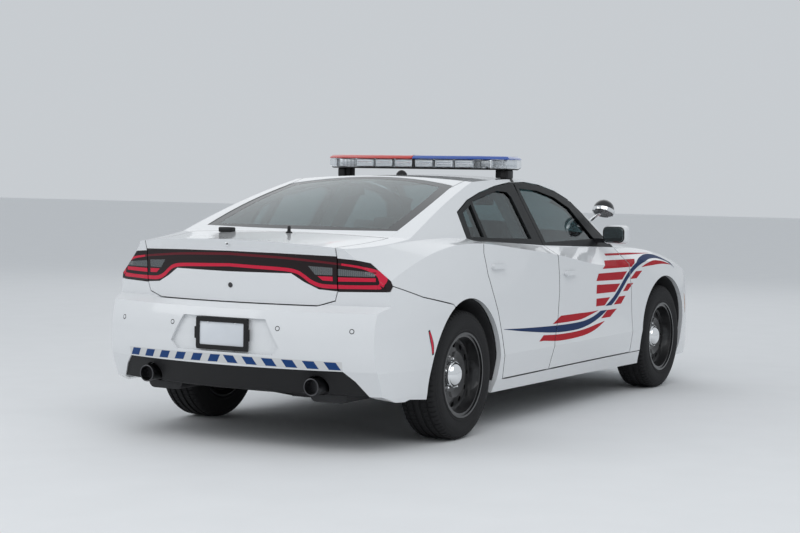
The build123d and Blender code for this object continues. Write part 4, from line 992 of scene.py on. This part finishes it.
MIRROR_Y, MIRROR_Z = 958.0, 1106.0


def door_mirrors():
    """Black bezel and glass on the back of each mirror."""
    for side, turn in SIDES.items():
        x, y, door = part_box(f"mirror_{side}")[0].x / MM, turn * MIRROR_Y, f"door_front_{side}"
        rounded_plate(f"mirror_bezel_{side}", (x + 1, y, MIRROR_Z), 150, 106, 8, 34, TRIM, door)
        rounded_plate(f"mirror_face_{side}", (x - 4, y, MIRROR_Z), 136, 92, 3, 28, MIRROR, door)


BLADE_STEPS, BLADE_LIFT, ARM_LIFT = 14, 0.007, 0.016
WIPERS = [
    # pivot, blade's start, blade's end
    ((1012, 560), (1000, 470), (1048, -70)),
    ((1050, -20), (1040, -110), (968, -600)),
]


def over_screen(x, y, lift):
    """Point above the first of windshield, cowl and hood that lies under (x, y)."""
    spots = (above(node, x * MM, y * MM) for node in ("windshield", "cowl", "hood"))
    return next(filter(None, spots)) + Vector((0, 0, lift))


def wipers():
    """Two wipers parked at the foot of the windshield."""
    for i, (pivot, start, end) in enumerate(WIPERS):
        shares = [k / BLADE_STEPS for k in range(BLADE_STEPS + 1)]
        blade = [over_screen(*Vector(start).lerp(Vector(end), share), BLADE_LIFT) for share in shares]
        tube(f"wiper_blade_{i}", blade, 4.5, RUBBER)
        foot, middle = over_screen(*pivot, 0.006), blade[BLADE_STEPS // 2]
        arm = [foot.lerp(middle, share) + Vector((0, 0, lift)) for share, lift in
               ((0, 0), (0, 0.014), (0.35, ARM_LIFT), (0.7, ARM_LIFT), (1, 0.008))]
        tube(f"wiper_arm_{i}", arm, 5.5, SATIN)
        turned(f"wiper_pivot_{i}", [(14, -6), (14, 8), (11, 13), (0, 14)], foot, (0, 0, 1), SATIN, count=28)


HEADLIGHTS, HEADLIGHT_DEPTH = [(0.585, 0.762), (0.690, 0.772)], 0.012


def lamp_row(turn, start, end, step, low, high):
    """Row of small blocks, seen along X, that follows a lamp's curve."""
    return [[(turn * y, high), (turn * (y + step), high), (turn * (y + step), low), (turn * y, low)]
            for y in range(start, end, step)]


def headlights():
    """Projectors and lit strips inside the clear covers."""
    bowl = [(0, -26), (16.5, -24), (27, -12), (30, 0), (33, 1), (33, -20)]
    dome = [(0, -6), (10.5, -7), (18, -11), (21.6, -18)]
    for side, turn in SIDES.items():
        for k, (y, z) in enumerate(HEADLIGHTS):
            spot = hit("headlamps", (3, turn * y, z), (-1, 0, 0)) - Vector((HEADLIGHT_DEPTH, 0, 0))
            turned(f"headlight_ring_{side}_{k}", bowl, spot, (1, 0, 0), CHROME)
            turned(f"headlight_lens_{side}_{k}", dome, spot, (1, 0, 0), SCREEN)
        film(f"day_light_{side}", "headlamps", "nose", 1, lamp_row(turn, 510, 880, 20, 796, 803), PLATE,
             lift=-3.0)
        film(f"turn_light_{side}", "headlamps", "nose", 1, lamp_row(turn, 770, 890, 15, 741, 748), AMBER,
             lift=-3.0)


# Camera, light and floor

CAMERA_PLACE, CAMERA_LENS = (-10.1905, -5.4047, 1.4698), 79.153
CAMERA_AZIMUTH, CAMERA_PITCH, CAMERA_ROLL = math.radians(29.37), math.radians(-2.95), 0.016
LIGHT_AIM, FLOOR_HALF = (0, 0, 0.6), 60


def camera():
    """The photograph's view: 29 degrees off the car's axis, from behind on its right."""
    forward = Vector((math.cos(CAMERA_PITCH) * math.cos(CAMERA_AZIMUTH),
                      math.cos(CAMERA_PITCH) * math.sin(CAMERA_AZIMUTH),
                      math.sin(CAMERA_PITCH)))
    right = forward.cross(Vector((0, 0, 1))).normalized()
    up = right.cross(forward)
    turned_right = right * math.cos(CAMERA_ROLL) + up * math.sin(CAMERA_ROLL)
    turned_up = up * math.cos(CAMERA_ROLL) - right * math.sin(CAMERA_ROLL)
    data = bpy.data.cameras.new("camera")
    data.sensor_width, data.lens, data.clip_end = 36.0, CAMERA_LENS, 200.0
    eye = placed("camera", data)
    axes = Matrix((turned_right, turned_up, -forward)).transposed().to_4x4()
    eye.matrix_world = Matrix.Translation(CAMERA_PLACE) @ axes
    bpy.context.scene.camera = eye


def area_light(name, place, size, power):
    """Rectangular light that faces the car."""
    data = bpy.data.lights.new(name, "AREA")
    data.shape = "RECTANGLE"
    data.size, data.size_y = size
    data.energy = power
    lamp = placed(name, data)
    lamp.location = place
    lamp.rotation_euler = (Vector(LIGHT_AIM) - Vector(place)).to_track_quat("-Z", "Y").to_euler()


def studio():
    """Sky, three soft lights and a wide floor."""
    world = bpy.context.scene.world = bpy.data.worlds.new("world")
    world.use_nodes = True
    set_inputs(world.node_tree.nodes["Background"], Color=(0.80, 0.84, 0.88, 1), Strength=0.72)
    area_light("key", (-6.0, -5.0, 8.0), (11.0, 7.0), 300.0)
    area_light("fill", (-7.0, 5.0, 5.0), (6.0, 6.0), 120.0)
    area_light("front", (9.0, 4.0, 8.0), (14.0, 9.0), 150.0)
    floor = bpy.data.meshes.new("floor")
    corners = [(x * FLOOR_HALF, y * FLOOR_HALF, 0) for x, y in ((-1, -1), (1, -1), (1, 1), (-1, 1))]
    floor.from_pydata(corners, [], [(0, 1, 2, 3)])
    floor.materials.append(shader("floor", (0.78, 0.79, 0.80), 0.75, vary=0.03, grain=3.0))
    placed("floor", floor)


finish_nodes()
livery()
lamps()
block_strip()
number_plate()
tail_fittings()
light_bar()
pillar_lamps()
antennas()
glass_edges()
wheels()
seats()
inside()
door_mirrors()
wipers()
headlights()
camera()
studio()
bpy.context.scene.view_settings.view_transform = "Standard"
